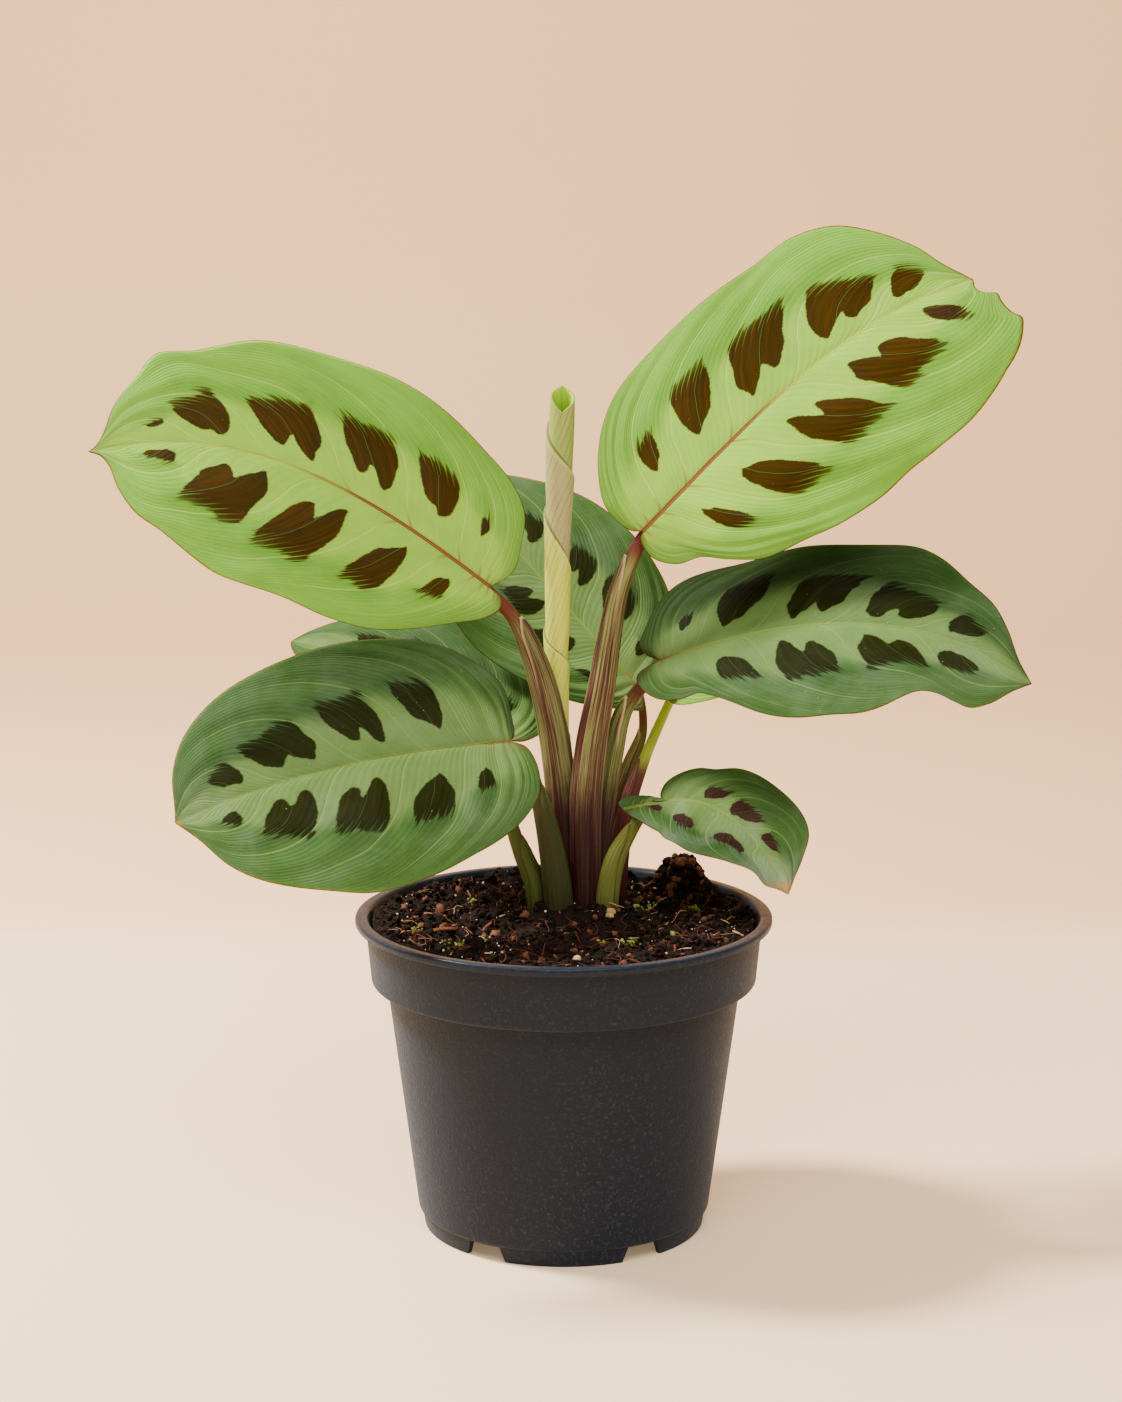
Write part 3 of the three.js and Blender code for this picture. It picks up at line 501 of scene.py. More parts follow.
def main_veins(blotches):
    """Places round the margin of the main side veins: between each two blotches and past both ends."""
    first, last = blotches[0][0] - 0.035, blotches[-1][1] + 0.03
    between = [(a[1] + b[0]) / 2 for a, b in zip(blotches, blotches[1:])]
    early = [first * part for part in (0.3, 0.62)]
    return [0, *early, first, *between, last, 1]


# outlines of a blotch: -1 to 1 across it towards the leaf's tip, 0 to 1 from its inner to its outer end
PAW = [
    (-0.5, -0.06), (-0.74, 0.11), (-0.95, 0.3), (-1, 0.55), (-1, 0.88), (-0.97, 1), (-0.45, 1.01),
    (0, 0.98), (0.5, 1.03), (0.97, 1.02), (1, 0.86), (1, 0.5), (0.92, 0.3), (0.68, 0.13), (0.5, 0.06),
    (0.27, 0.14), (0.08, 0.33), (-0.04, 0.21), (-0.25, 0.03),
]
MITTEN = [
    (-0.3, -0.02), (-0.7, 0.16), (-1, 0.48), (-0.98, 0.86), (-0.8, 1), (0, 1), (0.7, 1.04), (1, 0.9),
    (1, 0.5), (0.74, 0.24), (0.4, 0.13), (0.1, 0.1), (-0.1, 0.03),
]
DAB = [(0, 0), (-0.6, 0.25), (-1, 0.6), (-0.6, 1), (0.1, 1.06), (0.8, 0.9), (1, 0.5), (0.5, 0.14)]
BIG_BLOTCH = 0.072  # blotches that take more of the margin than this are paws, but for the first of them
DAB_HALF = 0.024  # and those whose half takes no more than this are dabs


def within(points, corners):
    """Signed distance from each point into a closed outline, positive inside."""
    nearest = np.full(points.shape[:-1], 1e9)
    inside = np.zeros(points.shape[:-1], bool)
    for start, end in zip(corners, np.roll(corners, -1, axis=0)):
        edge = end - start
        to = points - start
        part = np.clip((to @ edge) / (edge @ edge), 0, 1)
        nearest = np.minimum(nearest, np.linalg.norm(to - part[..., None] * edge, axis=-1))
        crossing = (start[1] > points[..., 1]) != (end[1] > points[..., 1])
        rise = edge[1] if abs(edge[1]) > 1e-9 else 1e-9
        inside ^= crossing & (points[..., 0] < start[0] + (points[..., 1] - start[1]) / rise * edge[0])
    return np.where(inside, nearest, -nearest)


def vein_count(blotches, u, v):
    """Which side vein passes here: they leave the midrib aslant and sweep on along the margin."""
    veins = main_veins(blotches)
    swept = u + VEIN_START * np.exp(-v / 0.07) - VEIN_END * v ** 3.2
    count = np.interp(swept, veins, np.arange(len(veins)))
    return np.where(swept < 0, swept / veins[1], np.where(swept > 1, count + (swept - 1) / 0.05, count))


def blotch_field(blotches, u, v, along_mm, across_mm, seed, lobed):
    """Signed distance into the blotches in mm, how near their outer end, and a tone for each."""
    field = np.full((u * v).shape, -30.0)
    outward = np.zeros(field.shape)
    tone = np.zeros(field.shape)
    big = [k for k, blotch in enumerate(blotches) if blotch[1] - blotch[0] > BIG_BLOTCH]
    for k, (first, last, inner, outer) in enumerate(blotches):
        half = (last - first) / 2
        x = (u - (first + last) / 2) / half + 0 * v
        y = (v - inner) / (outer - inner) + 0 * u
        row = int(round((first + last) / 2 * (len(u) - 1)))
        size = np.array([half * along_mm[row, len(v[0]) // 3], (outer - inner) * across_mm[row, 0]])
        shape = np.array(PAW if k in big[1:] and lobed else MITTEN if half > DAB_HALF else DAB)
        corner = np.arange(len(shape))
        shape[:, 0] += 0.07 * np.sin(2.7 * corner + 1.9 * k + seed)
        shape[:, 1] += 0.025 * np.sin(4.1 * corner + 2.3 * k + 2 * seed)
        after = np.roll(shape, -1, axis=0)
        shape = np.stack([0.75 * shape + 0.25 * after, 0.25 * shape + 0.75 * after], axis=1).reshape(-1, 2)
        near = within(np.stack([x, y], axis=-1) * size, shape * size)
        better = near > field
        field = np.where(better, near, field)
        outward = np.where(better, np.clip(y, 0, 1.6), outward)
        tone = np.where(better, (0.37 * k + 0.11 * seed) % 0.9 + (half <= DAB_HALF) * 1.0, tone)
    return field, outward, tone


def blade_half(leaf, side, sign, sizes, seed):
    """Upper and lower points of one half in mm, with the places that its material reads."""
    rows, steps = sizes.rows, sizes.steps
    total = curve_length(leaf["midrib"])
    outline = [(0, 0, 0), *((part * total, width, 0) for part, width in leaf[side]), (total, 0, 0)]
    line = through(outline, np.linspace(0, 1, 3000))
    travelled = np.concatenate([[0], np.cumsum(np.linalg.norm(np.diff(line, axis=0), axis=1))])
    u = np.linspace(0, 1, rows + 1)
    edge_part = np.interp(u, travelled / travelled[-1], line[:, 0])[:, None] / total
    edge_width = np.interp(u, travelled / travelled[-1], line[:, 1])[:, None]
    v = (np.arange(steps + 1) / steps)[None, :] ** 1.25
    u = u[:, None]
    start = u ** VEIN_SWEEP
    part = start + (edge_part - start) * (VEIN_LEAN * v * (1 - v) + v * v)
    width = edge_width * (VEIN_SPREAD * v * (1 - v) + v * v)
    wave_height, waves = leaf["wave"]
    ripple = wave_height * v ** 3 * np.sin(2 * np.pi * waves * u + sign) * np.sin(np.pi * u)

    count = vein_count(leaf["blotches_" + side], u, v)
    open_part = np.clip(4 * v * (1 - v), 0, 1) ** 0.7 * np.clip(np.sin(np.pi * u) * 2.2, 0, 1)
    quilt = -0.5 * sizes.quilt / MM * np.cos(2 * np.pi * count) * open_part
    shared = ripple + quilt
    taper = 1 - v ** 14
    thick = sizes.thickness / MM / 2 * taper
    strength = (1 - 0.75 * np.clip(part, 0, 1)) * np.clip(8 * u, 0, 1)
    groove = sizes.groove / MM * strength * np.exp(-((width / 0.9) ** 2))
    ridge = sizes.ridge / MM * strength * np.exp(-((width / 0.9) ** 2))
    left = sign * width
    upper = blade_points(leaf, part, left, shared + thick - groove)
    lower = blade_points(leaf, part, left, shared - thick - ridge)

    middle = blade_points(leaf, part, left, shared)
    per_u = np.linalg.norm(np.gradient(middle, axis=0), axis=2) * rows
    per_v = np.linalg.norm(np.diff(middle, axis=1), axis=2).sum(axis=1, keepdims=True)
    by_u = np.gradient(count, axis=0) * rows / np.maximum(per_u, 1)
    by_v = np.gradient(count, axis=1) / np.gradient(v, axis=1) / np.maximum(per_v, 1)
    per_vein = 1 / np.maximum(np.hypot(by_u, by_v), 0.03)
    field, outward, tone = blotch_field(leaf["blotches_" + side], u, v, per_u, per_v, seed + sign,
                                        leaf["look"] != "small")
    whole = np.ones_like(part)
    vein_place = np.stack([count, sign * v * whole, per_vein], axis=2)
    flat_place = np.stack([part * total, left, (1 - v) * per_v], axis=2)
    blotch_place = np.stack([field, outward, tone], axis=2)
    return upper, lower, vein_place, flat_place, blotch_place


# ---------------------------------------------------------------- meshes

def new_object(name, points, faces, materials, indices=None):
    """A smooth mesh object from points in mm."""
    mesh = bpy.data.meshes.new(name)
    mesh.from_pydata((np.asarray(points) * MM).tolist(), [], faces)
    for material in materials:
        mesh.materials.append(material)
    if indices is not None:
        mesh.polygons.foreach_set("material_index", indices)
    mesh.polygons.foreach_set("use_smooth", [True] * len(mesh.polygons))
    mesh.update()
    piece = bpy.data.objects.new(name, mesh)
    bpy.context.scene.collection.objects.link(piece)
    return piece


def write_places(piece, name, values):
    """A vector for every vertex, which the materials read by name."""
    layer = piece.data.attributes.new(name, "FLOAT_VECTOR", "POINT")
    layer.data.foreach_set("vector", np.asarray(values, np.float32).ravel())


def turn_faces_out(piece):
    shape = bmesh.new()
    shape.from_mesh(piece.data)
    bmesh.ops.recalc_face_normals(shape, faces=shape.faces)
    shape.to_mesh(piece.data)
    shape.free()


def crease(piece, degrees):
    """Keeps the edges sharper than this angle crisp under smooth shading."""
    shape = bmesh.new()
    shape.from_mesh(piece.data)
    for edge in shape.edges:
        if len(edge.link_faces) == 2 and edge.calc_face_angle(0) > math.radians(degrees):
            edge.smooth = False
    shape.to_mesh(piece.data)
    shape.free()


def dress(piece, slot, *nodes):
    """Puts a finished piece on the body, in place of its solids; its slot is not used."""
    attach(piece, BODY)
    if nodes:
        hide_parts(*nodes)


def tube_faces(rings, sides, closed=True):
    """Faces between rings of points, with a flat face at both ends of a closed tube."""
    faces = []
    for row in range(rings - 1):
        for side in range(sides):
            after = (side + 1) % sides
            low, high = row * sides, (row + 1) * sides
            faces.append((low + side, low + after, high + after, high + side))
    if closed:
        faces += [tuple(range(sides))[::-1], tuple(range((rings - 1) * sides, rings * sides))]
    return faces


# ---------------------------------------------------------------- shader helpers

def arithmetic(operation, turned=False):
    return lambda wire, other: wire.graph.math(operation, *((other, wire) if turned else (wire, other)))


class Wire:
    """An output of a shader node: + - * / and abs on it make and join math nodes."""
    __add__ = arithmetic("ADD")
    __sub__ = arithmetic("SUBTRACT")
    __rsub__ = arithmetic("SUBTRACT", turned=True)
    __mul__ = arithmetic("MULTIPLY")
    __truediv__ = arithmetic("DIVIDE")

    def __init__(self, graph, socket):
        self.graph, self.socket = graph, socket

    def __abs__(self):
        return self.graph.math("ABSOLUTE", self)


class Graph:
    """Short calls that make shader nodes and join them."""

    def __init__(self, tree):
        self.tree = tree

    def put(self, socket, value):
        if isinstance(value, Wire):
            self.tree.links.new(value.socket, socket)
        elif socket.type == "RGBA" and len(value) == 3:
            socket.default_value = (*value, 1)
        else:
            socket.default_value = value

    def fill(self, sockets, values):
        for key, value in values.items():
            self.put(sockets[key], value)

    def wires(self, sockets):
        return {socket.name: Wire(self, socket) for socket in sockets}

    def node(self, kind, values, output=0, **choices):
        """Makes a node with these inputs and settings, and gives one of its outputs."""
        node = self.tree.nodes.new(kind)
        for key, value in choices.items():
            setattr(node, key, value)
        self.fill(node.inputs, values)
        return Wire(self, node.outputs[output])

    def math(self, operation, *values):
        return self.node("ShaderNodeMath", dict(enumerate(values)), operation=operation)

    def step(self, value, low, high, to_low=0.0, to_high=1.0):
        """0 below low and 1 above high, smooth between; low may be the larger."""
        places = {"Value": value, "From Min": low, "From Max": high, "To Min": to_low, "To Max": to_high}
        return self.node("ShaderNodeMapRange", places, interpolation_type="SMOOTHSTEP")

    def mix(self, factor, a, b, blend="MIX"):
        return self.node("ShaderNodeMix", {0: factor, 6: a, 7: b}, 2, data_type="RGBA", blend_type=blend)

    def layers(self, tint, *rows):
        """Lays colours over a tint: each row is a mask, its low and high step, a share and the colour."""
        for mask, low, high, share, over in rows:
            tint = self.mix(self.step(mask, low, high) * share, tint, over)
        return tint

    def noise(self, vector, scale, detail=3.0, rough=0.55, distortion=0.0):
        values = {"Vector": vector, "Scale": scale, "Detail": detail, "Roughness": rough,
                  "Distortion": distortion}
        return self.node("ShaderNodeTexNoise", values)

    def cells(self, vector, scale):
        return self.node("ShaderNodeTexVoronoi", {"Vector": vector, "Scale": scale}, "Distance")

    def split(self, vector):
        node = self.tree.nodes.new("ShaderNodeSeparateXYZ")
        self.put(node.inputs[0], vector)
        return [Wire(self, socket) for socket in node.outputs]

    def join(self, x, y, z=0.0):
        return self.node("ShaderNodeCombineXYZ", {0: x, 1: y, 2: z})

    def attribute(self, name):
        return self.node("ShaderNodeAttribute", {}, "Vector", attribute_name=name)

    def place(self):
        """The place on the piece, in metres."""
        return self.node("ShaderNodeTexCoord", {}, "Object")

    def to_line(self, value):
        """Distance to the nearest whole number."""
        return abs(value - self.math("ROUND", value))

    def bump(self, height):
        """The normal that a height in mm gives."""
        return self.node("ShaderNodeBump", {"Height": height, "Strength": 1.0, "Distance": MM})

    def group(self, build, values):
        """Places a node group, built the first time, and gives its outputs by name."""
        node = self.tree.nodes.new("ShaderNodeGroup")
        node.node_tree = bpy.data.node_groups.get(build.__name__) or build()
        self.fill(node.inputs, values)
        return self.wires(node.outputs)


SOCKETS = {"value": "NodeSocketFloat", "vector": "NodeSocketVector", "colour": "NodeSocketColor"}
SURFACE = {"colour": ("Colour",), "value": ("Roughness", "Height")}


def shader_group(name, inputs, outputs):
    """An empty node group with labelled sockets of each kind: its graph, its inputs and its outputs."""
    tree = bpy.data.node_groups.new(name, "ShaderNodeTree")
    for way, kinds in (("INPUT", inputs), ("OUTPUT", outputs)):
        for kind, labels in kinds.items():
            for label in labels:
                tree.interface.new_socket(label, in_out=way, socket_type=SOCKETS[kind])
    graph = Graph(tree)
    given = graph.wires(tree.nodes.new("NodeGroupInput").outputs)
    return graph, given, tree.nodes.new("NodeGroupOutput").inputs


def new_material(name):
    """A material with its graph and its Principled shader's inputs."""
    material = bpy.data.materials.new(name)
    material.use_nodes = True
    tree = material.node_tree
    return material, Graph(tree), tree.nodes["Principled BSDF"].inputs


def dim(tint, share):
    return [share * part for part in tint]


def leaf_pattern():
    """Side veins, pale zone, blotches, midrib and margin of a blade, from its leaf places, with painted shade
    on each half.
    """
    g, given, result = shader_group("leaf_pattern", {
        "vector": ("Vein place", "Flat place", "Blotch place"),
        "value": ("Length", "Fine veins", "Blotch strength", "Red reach", "Rib width", "Wear", "Dust", "Bloom and sheen",
                  "Left painted shading", "Right painted shading"),
        "colour": ("Green", "Low green", "Pale", "Vein", "Blotch", "Blotch edge", "Midrib base",
                   "Midrib tip", "Margin", "Worn"),
    }, SURFACE)
    flat, low_green, pale, vein = (given[key] for key in ("Flat place", "Low green", "Pale", "Vein"))
    count, side, spacing = g.split(given["Vein place"])
    along, across, margin = g.split(flat)
    field, outward, tone = g.split(given["Blotch place"])
    v = abs(side)
    s = along / given["Length"]
    count = count + (g.noise(flat, 0.045, 2) - 0.5) * 0.16 * g.step(v, 0.0, 0.25)

    # veins, each with its distance in mm
    main_mm = g.to_line(count) * spacing
    half_mm = g.to_line(count + 0.5) * spacing
    fine_count = count * given["Fine veins"]
    fine_mm = g.to_line(fine_count) * spacing / given["Fine veins"]
    between_mm = g.to_line(fine_count + 0.5) * spacing / given["Fine veins"]
    thin_out = g.step(v, 1.0, 0.72)
    main = g.step(main_mm, 0.36, 0.1) * thin_out * 0.85
    half = g.step(half_mm, 0.26, 0.05) * thin_out * 0.34
    fine = g.step(fine_mm, 0.22, 0.04) * g.step(v, 0.2, 0.6, 0.05, 0.12)
    veins = g.math("MAXIMUM", main, g.math("MAXIMUM", half, fine))

    # clouds that run with the veins
    seed = tone * 7.0
    streak = g.noise(g.join(count * 9.0, v * 2.4, s), 1.0, 4, 0.6)
    thin_streak = g.noise(g.join(count * 26.0, v * 2.0, seed), 1.0, 3, 0.6)
    mottle = g.noise(g.join(count * 6.0, v * 20.0, seed), 1.0, 4, 0.65)
    cloud = g.noise(flat, 0.07, 4, 0.6)
    speckle = g.noise(flat, 1.4, 3, 0.6)
    base = g.layers(
        given["Green"], (cloud, 0.42, 0.7, 0.45, low_green), (streak, 0.5, 0.75, 0.22, low_green),
        (mottle, 0.5, 0.72, 0.32, low_green), (mottle, 0.48, 0.3, 0.22, pale),
        (between_mm, 0.3, 0.06, 0.3, low_green),
    )
    near_main = g.math("EXPONENT", g.math("POWER", main_mm * 0.38, 2.0) * -1.0)
    reach = v - near_main * 0.2 + (thin_streak - 0.5) * 0.22
    base = g.layers(
        base, (reach, 0.6, 0.2, g.step(cloud, 0.75, 0.3, 0.6, 0.95), pale),
        (speckle, 0.5, 0.8, 0.12, pale),
        (field, -7.0, 0.0, g.step(outward, 0.55, 1.0) * g.step(streak, 0.2, 0.6, 0.3, 0.75), low_green),
    )
    base = g.mix(veins * 0.62, base, vein)

    # blotches, ragged along the veins at their outer end
    end = g.step(outward, 0.7, 0.98)
    teeth = g.noise(g.join(count * 15.0, v * 1.2, seed), 1.0, 3, 0.7)
    rag = (teeth - 0.52) * (end * 9.0 + 0.4)
    uneven = (speckle - 0.5) * 0.7 + (g.noise(flat, 0.3, 2) - 0.5) * 0.9
    blotch = g.step((field + rag + uneven) / (end * 0.3 + 0.28), -1.0, 1.0)
    cuts = g.step(fine_mm, 0.3, 0.08) * end * g.step(streak, 0.35, 0.6, 0.2, 0.9)
    blotch = blotch * (1.0 - cuts * 0.75) * given["Blotch strength"]
    warm = g.step(g.noise(g.join(count * 3.0, v * 3.0, seed), 1.0, 2), 0.45, 0.7)
    rim = g.math("MAXIMUM", g.step(field, 3.0, 0.3) * warm, g.step(tone, 0.99, 1.01))
    ink = g.mix(rim * 0.8, given["Blotch"], given["Blotch edge"])
    ink = g.layers(ink, (thin_streak, 0.46, 0.66, 0.55, g.mix(1.0, ink, (2.4, 2.1, 1.8), "MULTIPLY")))
    ink = g.layers(
        ink, (streak, 0.5, 0.7, 0.5, g.mix(1.0, ink, (0.4, 0.4, 0.5), "MULTIPLY")),
        (outward, 0.85, 1.1, 0.3, low_green), (half_mm, 0.55, 0.2, 0.55, (0.01, 0.006, 0.002)),
        (half_mm, 0.16, 0.03, 0.15, vein),
    )
    tint = g.mix(blotch, base, ink)

    # midrib of several threads, reddish from the base
    away = abs(across)
    rib = g.step(away - g.step(s, 0.0, 0.9, 1.05, 0.35) * given["Rib width"], 0.12, -0.2)
    red = g.step(s + (cloud - 0.5) * 0.3, given["Red reach"], given["Red reach"] - 0.3)
    threads = g.math("COSINE", across * 11.0)
    rib_tint = g.mix(red, given["Midrib tip"], given["Midrib base"])
    rib_tint = g.layers(rib_tint, (threads, 0.1, 0.9, 0.3, vein))
    feeders = g.step(away, 6.0, 0.8) * red * 0.6
    tint = g.layers(tint, (main_mm, 0.6, 0.15, feeders, given["Midrib base"]))
    tint = g.mix(rib, tint, rib_tint)

    # margin, worn tip, dust, and a pale veil that is partly dusty bloom and partly painted sheen
    tint = g.layers(tint, (margin, 0.55, 0.12, g.step(cloud, 0.3, 0.5, 0.35, 0.95), given["Margin"]))
    worn = g.step(s + (cloud - 0.5) * 0.16, 1.02 - given["Wear"], 1.02 - given["Wear"] * 0.4)
    dry = g.layers(given["Worn"], (speckle, 0.5, 0.62, 0.7, colour(112, 58, 24)))
    specks = g.step(g.cells(flat, 0.42), 0.075, 0.03) * given["Dust"]
    tint = g.layers(
        tint, (given["Wear"], 0.0, 0.02, worn, dry),
        (g.noise(flat, 0.11, 1), 0.5, 0.62, specks, (0.72, 0.7, 0.62)),
        # pale veil, kept off the blotches: partly dusty bloom, partly painted sheen
        (g.noise(flat, 0.035, 3, 0.65, 0.6), 0.42, 0.75, (1.0 - blotch * 0.85) * given["Bloom and sheen"],
         (0.5, 0.56, 0.48)),
    )
    # painted shade: each half is darkened by its own factor, most towards the margin and least at the tip,
    # where it lies in a neighbour's shadow or turns away from the light
    painted_shade = 1.0 - g.step(side, -0.04, 0.04, given["Right painted shading"], given["Left painted shading"])
    painted_shade = painted_shade * g.step(s, 0.45, 0.95, 1.0, 0.55) * g.step(v, 0.05, 0.65, 0.5, 1.2)
    light = 1.0 - painted_shade

    grooves = g.math("MAXIMUM", main, g.math("MAXIMUM", half, fine * 0.9)) * -0.06
    pleats = g.math("COSINE", fine_count * (2 * math.pi)) * -0.022
    g.fill(result, {
        "Colour": g.mix(1.0, tint, g.join(light, light, light), "MULTIPLY"),
        "Roughness": g.step(cloud, 0.3, 0.7, 0.52, 0.64) + speckle * 0.08,
        "Height": grooves + g.noise(flat, 5.0, 2) * 0.035 + pleats + rib * 0.05,
    })
    return g.tree


def stalk_stripes():
    """Lengthwise stripes of a sheath, its crimson foot, bare top and dried margin."""
    g, given, result = shader_group("stalk_stripes", {
        "vector": ("Round place", "Zone"), "value": ("Below tip",),
        "colour": ("Dark", "Light", "Foot", "Top", "Edge"),
    }, SURFACE)
    angle, height, seed = g.split(given["Round place"])
    sheathed, foot, margin = g.split(given["Zone"])
    turn = angle * (2 * math.pi)
    ring = g.join(g.math("COSINE", turn), g.math("SINE", turn), seed + height * 0.003)
    wide = g.noise(ring, 2.6, 3, 0.6)
    narrow = g.noise(ring, 11.0, 3, 0.65)
    hair = g.noise(ring, 38.0, 2, 0.5)
    patch = g.noise(g.join(angle * 5.0, height * 0.06, seed), 1.0, 4, 0.6)
    tint = g.mix(g.step(wide * 0.9 + (narrow - 0.5) * 1.5, 0.3, 0.62), given["Dark"], given["Light"])
    tint = g.layers(
        tint, (hair, 0.5, 0.66, 0.2, given["Edge"]), (hair, 0.48, 0.3, 0.5, dim(colour(70, 34, 30), 0.6)),
        (patch, 0.45, 0.7, 0.4, given["Dark"]),
        (foot + (patch - 0.5) * 0.4, 0.08, 0.48, g.step(narrow, 0.3, 0.75, 1.0, 0.86), given["Foot"]),
        # the darkest band just above the soil is partly the foot's own deep crimson and partly painted shade
        # among the crowded stalk feet
        (foot, 0.82, 1.0, 0.6, colour(34, 14, 14)),
    )
    top = g.layers(given["Top"], (narrow, 0.4, 0.7, 0.25, given["Dark"]))
    dry = g.step(margin, 0.9, 0.25) * g.step(foot, 0.12, 0.0)
    tint = g.layers(
        g.mix(sheathed, top, tint), (margin, 0.6, 0.1, 0.5, dim(colour(84, 40, 40), 0.7)),
        (given["Below tip"], 26.0, 3.0, dry, given["Edge"]),
    )
    g.fill(result, {
        "Colour": tint, "Roughness": g.step(narrow, 0.3, 0.7, 0.36, 0.52),
        "Height": narrow * 0.1 + hair * 0.05,
    })
    return g.tree


def fine_grain():
    """Fine moulded grain with pale dust caught in it."""
    g, given, result = shader_group(
        "fine_grain", {"value": ("Scale", "Depth")}, {"value": ("Grain", "Dust", "Height")})
    place = g.place()
    grain = g.noise(place, given["Scale"], 2, 0.6)
    cloud = g.noise(place, given["Scale"] * 0.012, 4, 0.6)
    g.fill(result, {
        "Grain": grain, "Dust": g.step(grain, 0.5, 0.74) * g.step(cloud, 0.3, 0.7, 0.3, 1.0),
        "Height": grain * given["Depth"],
    })
    return g.tree


# ---------------------------------------------------------------- leaf materials

# the pale veil over each look's blades is partly dusty bloom and partly painted sheen
LEAF_LOOKS = {
    "bright": dict(
        rib=0.74, tip="midrib_yellow", green="bright", low="bright_low", pale="bright_pale", vein="vein",
        blotch="blotch_brown", edge="blotch_plum", red=0.62, dust=0.25, bloom_and_sheen=0.0, worn=(150, 160, 90),
    ),
    "deep": dict(
        rib=0.5, tip="midrib_olive", green="deep", low="deep_low", pale="deep_pale", vein="vein_deep",
        blotch="blotch_olive", edge="blotch_olive", red=0.2, dust=0.7, bloom_and_sheen=0.07, worn=(176, 150, 66),
    ),
}
LEAF_LOOKS["small"] = dict(
    LEAF_LOOKS["deep"], blotch="blotch_plum", edge="blotch_plum", red=-0.4, bloom_and_sheen=0.2, worn=(170, 124, 30))
LEAF_WEAR = {"small_lower_right": 0.13, "lower_left": 0.05, "middle_right": 0.03}
# how light each half of each leaf is painted, and how glossy the leaf is: values under 1 are painted shade
# where a half lies in a neighbour's shadow or turns away from the light, values over 1 painted light
LEAF_SHADE_AND_GLOSS = {
    "upper_left": (1, 1, 0.06), "upper_right": (0.78, 0.92, 0.02), "middle_right": (0.4, 0.75, 0.02),
    "lower_left": (1.02, 0.6, 0.03), "small_lower_right": (0.66, 0.78, 0.02),
    "back_centre": (0.95, 1.04, 0.03), "back_left": (0.72, 0.74, 0.03), "back_right": (1, 1, 0.05),
}
UNDERSIDE_GLOSS = 0.07
FINE_VEINS = 9  # between two main veins


def leaf_material(name, leaf, sizes, lower):
    """The face of a blade; the lower one is greyer, with raised veins and the blotches showing through."""
    material, graph, shader = new_material(("lower" if lower else "upper") + "_face_" + name)
    look = LEAF_LOOKS[leaf["look"]]
    left_painted_shading, right_painted_shading, gloss = LEAF_SHADE_AND_GLOSS[name]
    values = {
        "Vein place": graph.attribute("vein_place"), "Flat place": graph.attribute("flat_place"),
        "Blotch place": graph.attribute("blotch_place"), "Length": curve_length(leaf["midrib"]),
        "Fine veins": FINE_VEINS, "Blotch strength": 0.97, "Red reach": look["red"],
        "Rib width": look["rib"], "Wear": LEAF_WEAR.get(name, 0.0), "Dust": look["dust"],
        "Bloom and sheen": look["bloom_and_sheen"], "Left painted shading": left_painted_shading, "Right painted shading": right_painted_shading,
        "Midrib base": sizes.midrib_red, "Margin": colour(98, 66, 46), "Worn": colour(*look["worn"]),
    }
    for label, key in (("Green", "green"), ("Low green", "low"), ("Pale", "pale"), ("Vein", "vein"),
                       ("Blotch", "blotch"), ("Blotch edge", "edge"), ("Midrib tip", "tip")):
        values[label] = getattr(sizes, look[key])
    if lower:
        gloss = UNDERSIDE_GLOSS
        values.update({
            "Green": sizes.underside, "Low green": colour(112, 138, 98), "Pale": sizes.underside_pale,
            "Vein": colour(190, 202, 160), "Blotch": colour(112, 92, 88), "Blotch strength": 0.6,
            "Midrib base": colour(170, 150, 110), "Dust": 0.0, "Bloom and sheen": 0.1, "Left painted shading": 1.0,
            "Right painted shading": 1.0,
        })
    outputs = graph.group(leaf_pattern, values)
    height = outputs["Height"] * -1.6 if lower else outputs["Height"]
    graph.fill(shader, {
        "Base Color": outputs["Colour"], "Roughness": outputs["Roughness"], "Specular IOR Level": gloss,
        "Subsurface Weight": 0.12, "Subsurface Radius": (0.4, 0.8, 0.15), "Subsurface Scale": 0.0015,
        "Normal": graph.bump(height),
    })
    return material


# ---------------------------------------------------------------- blades

def grid_faces(numbers, flip=False):
    """Faces of a grid of vertex numbers, with the pointed ends as triangles."""
    faces = []
    for here, after in zip(numbers[:-1].tolist(), numbers[1:].tolist()):
        for k in range(len(here) - 1):
            corners = list(dict.fromkeys((here[k], after[k], after[k + 1], here[k + 1])))
            if len(corners) > 2:
                faces.append(tuple(corners[::-1] if flip else corners))
    return faces


def sheet_faces(front, back):
    """Faces of a closed sheet between two grids of vertex numbers."""
    faces = grid_faces(front) + grid_faces(back, flip=True)
    for edge in (np.s_[:, 0], np.s_[:, -1], np.s_[0], np.s_[-1]):
        faces += grid_faces(np.stack([front[edge], back[edge]], axis=1))
    return faces


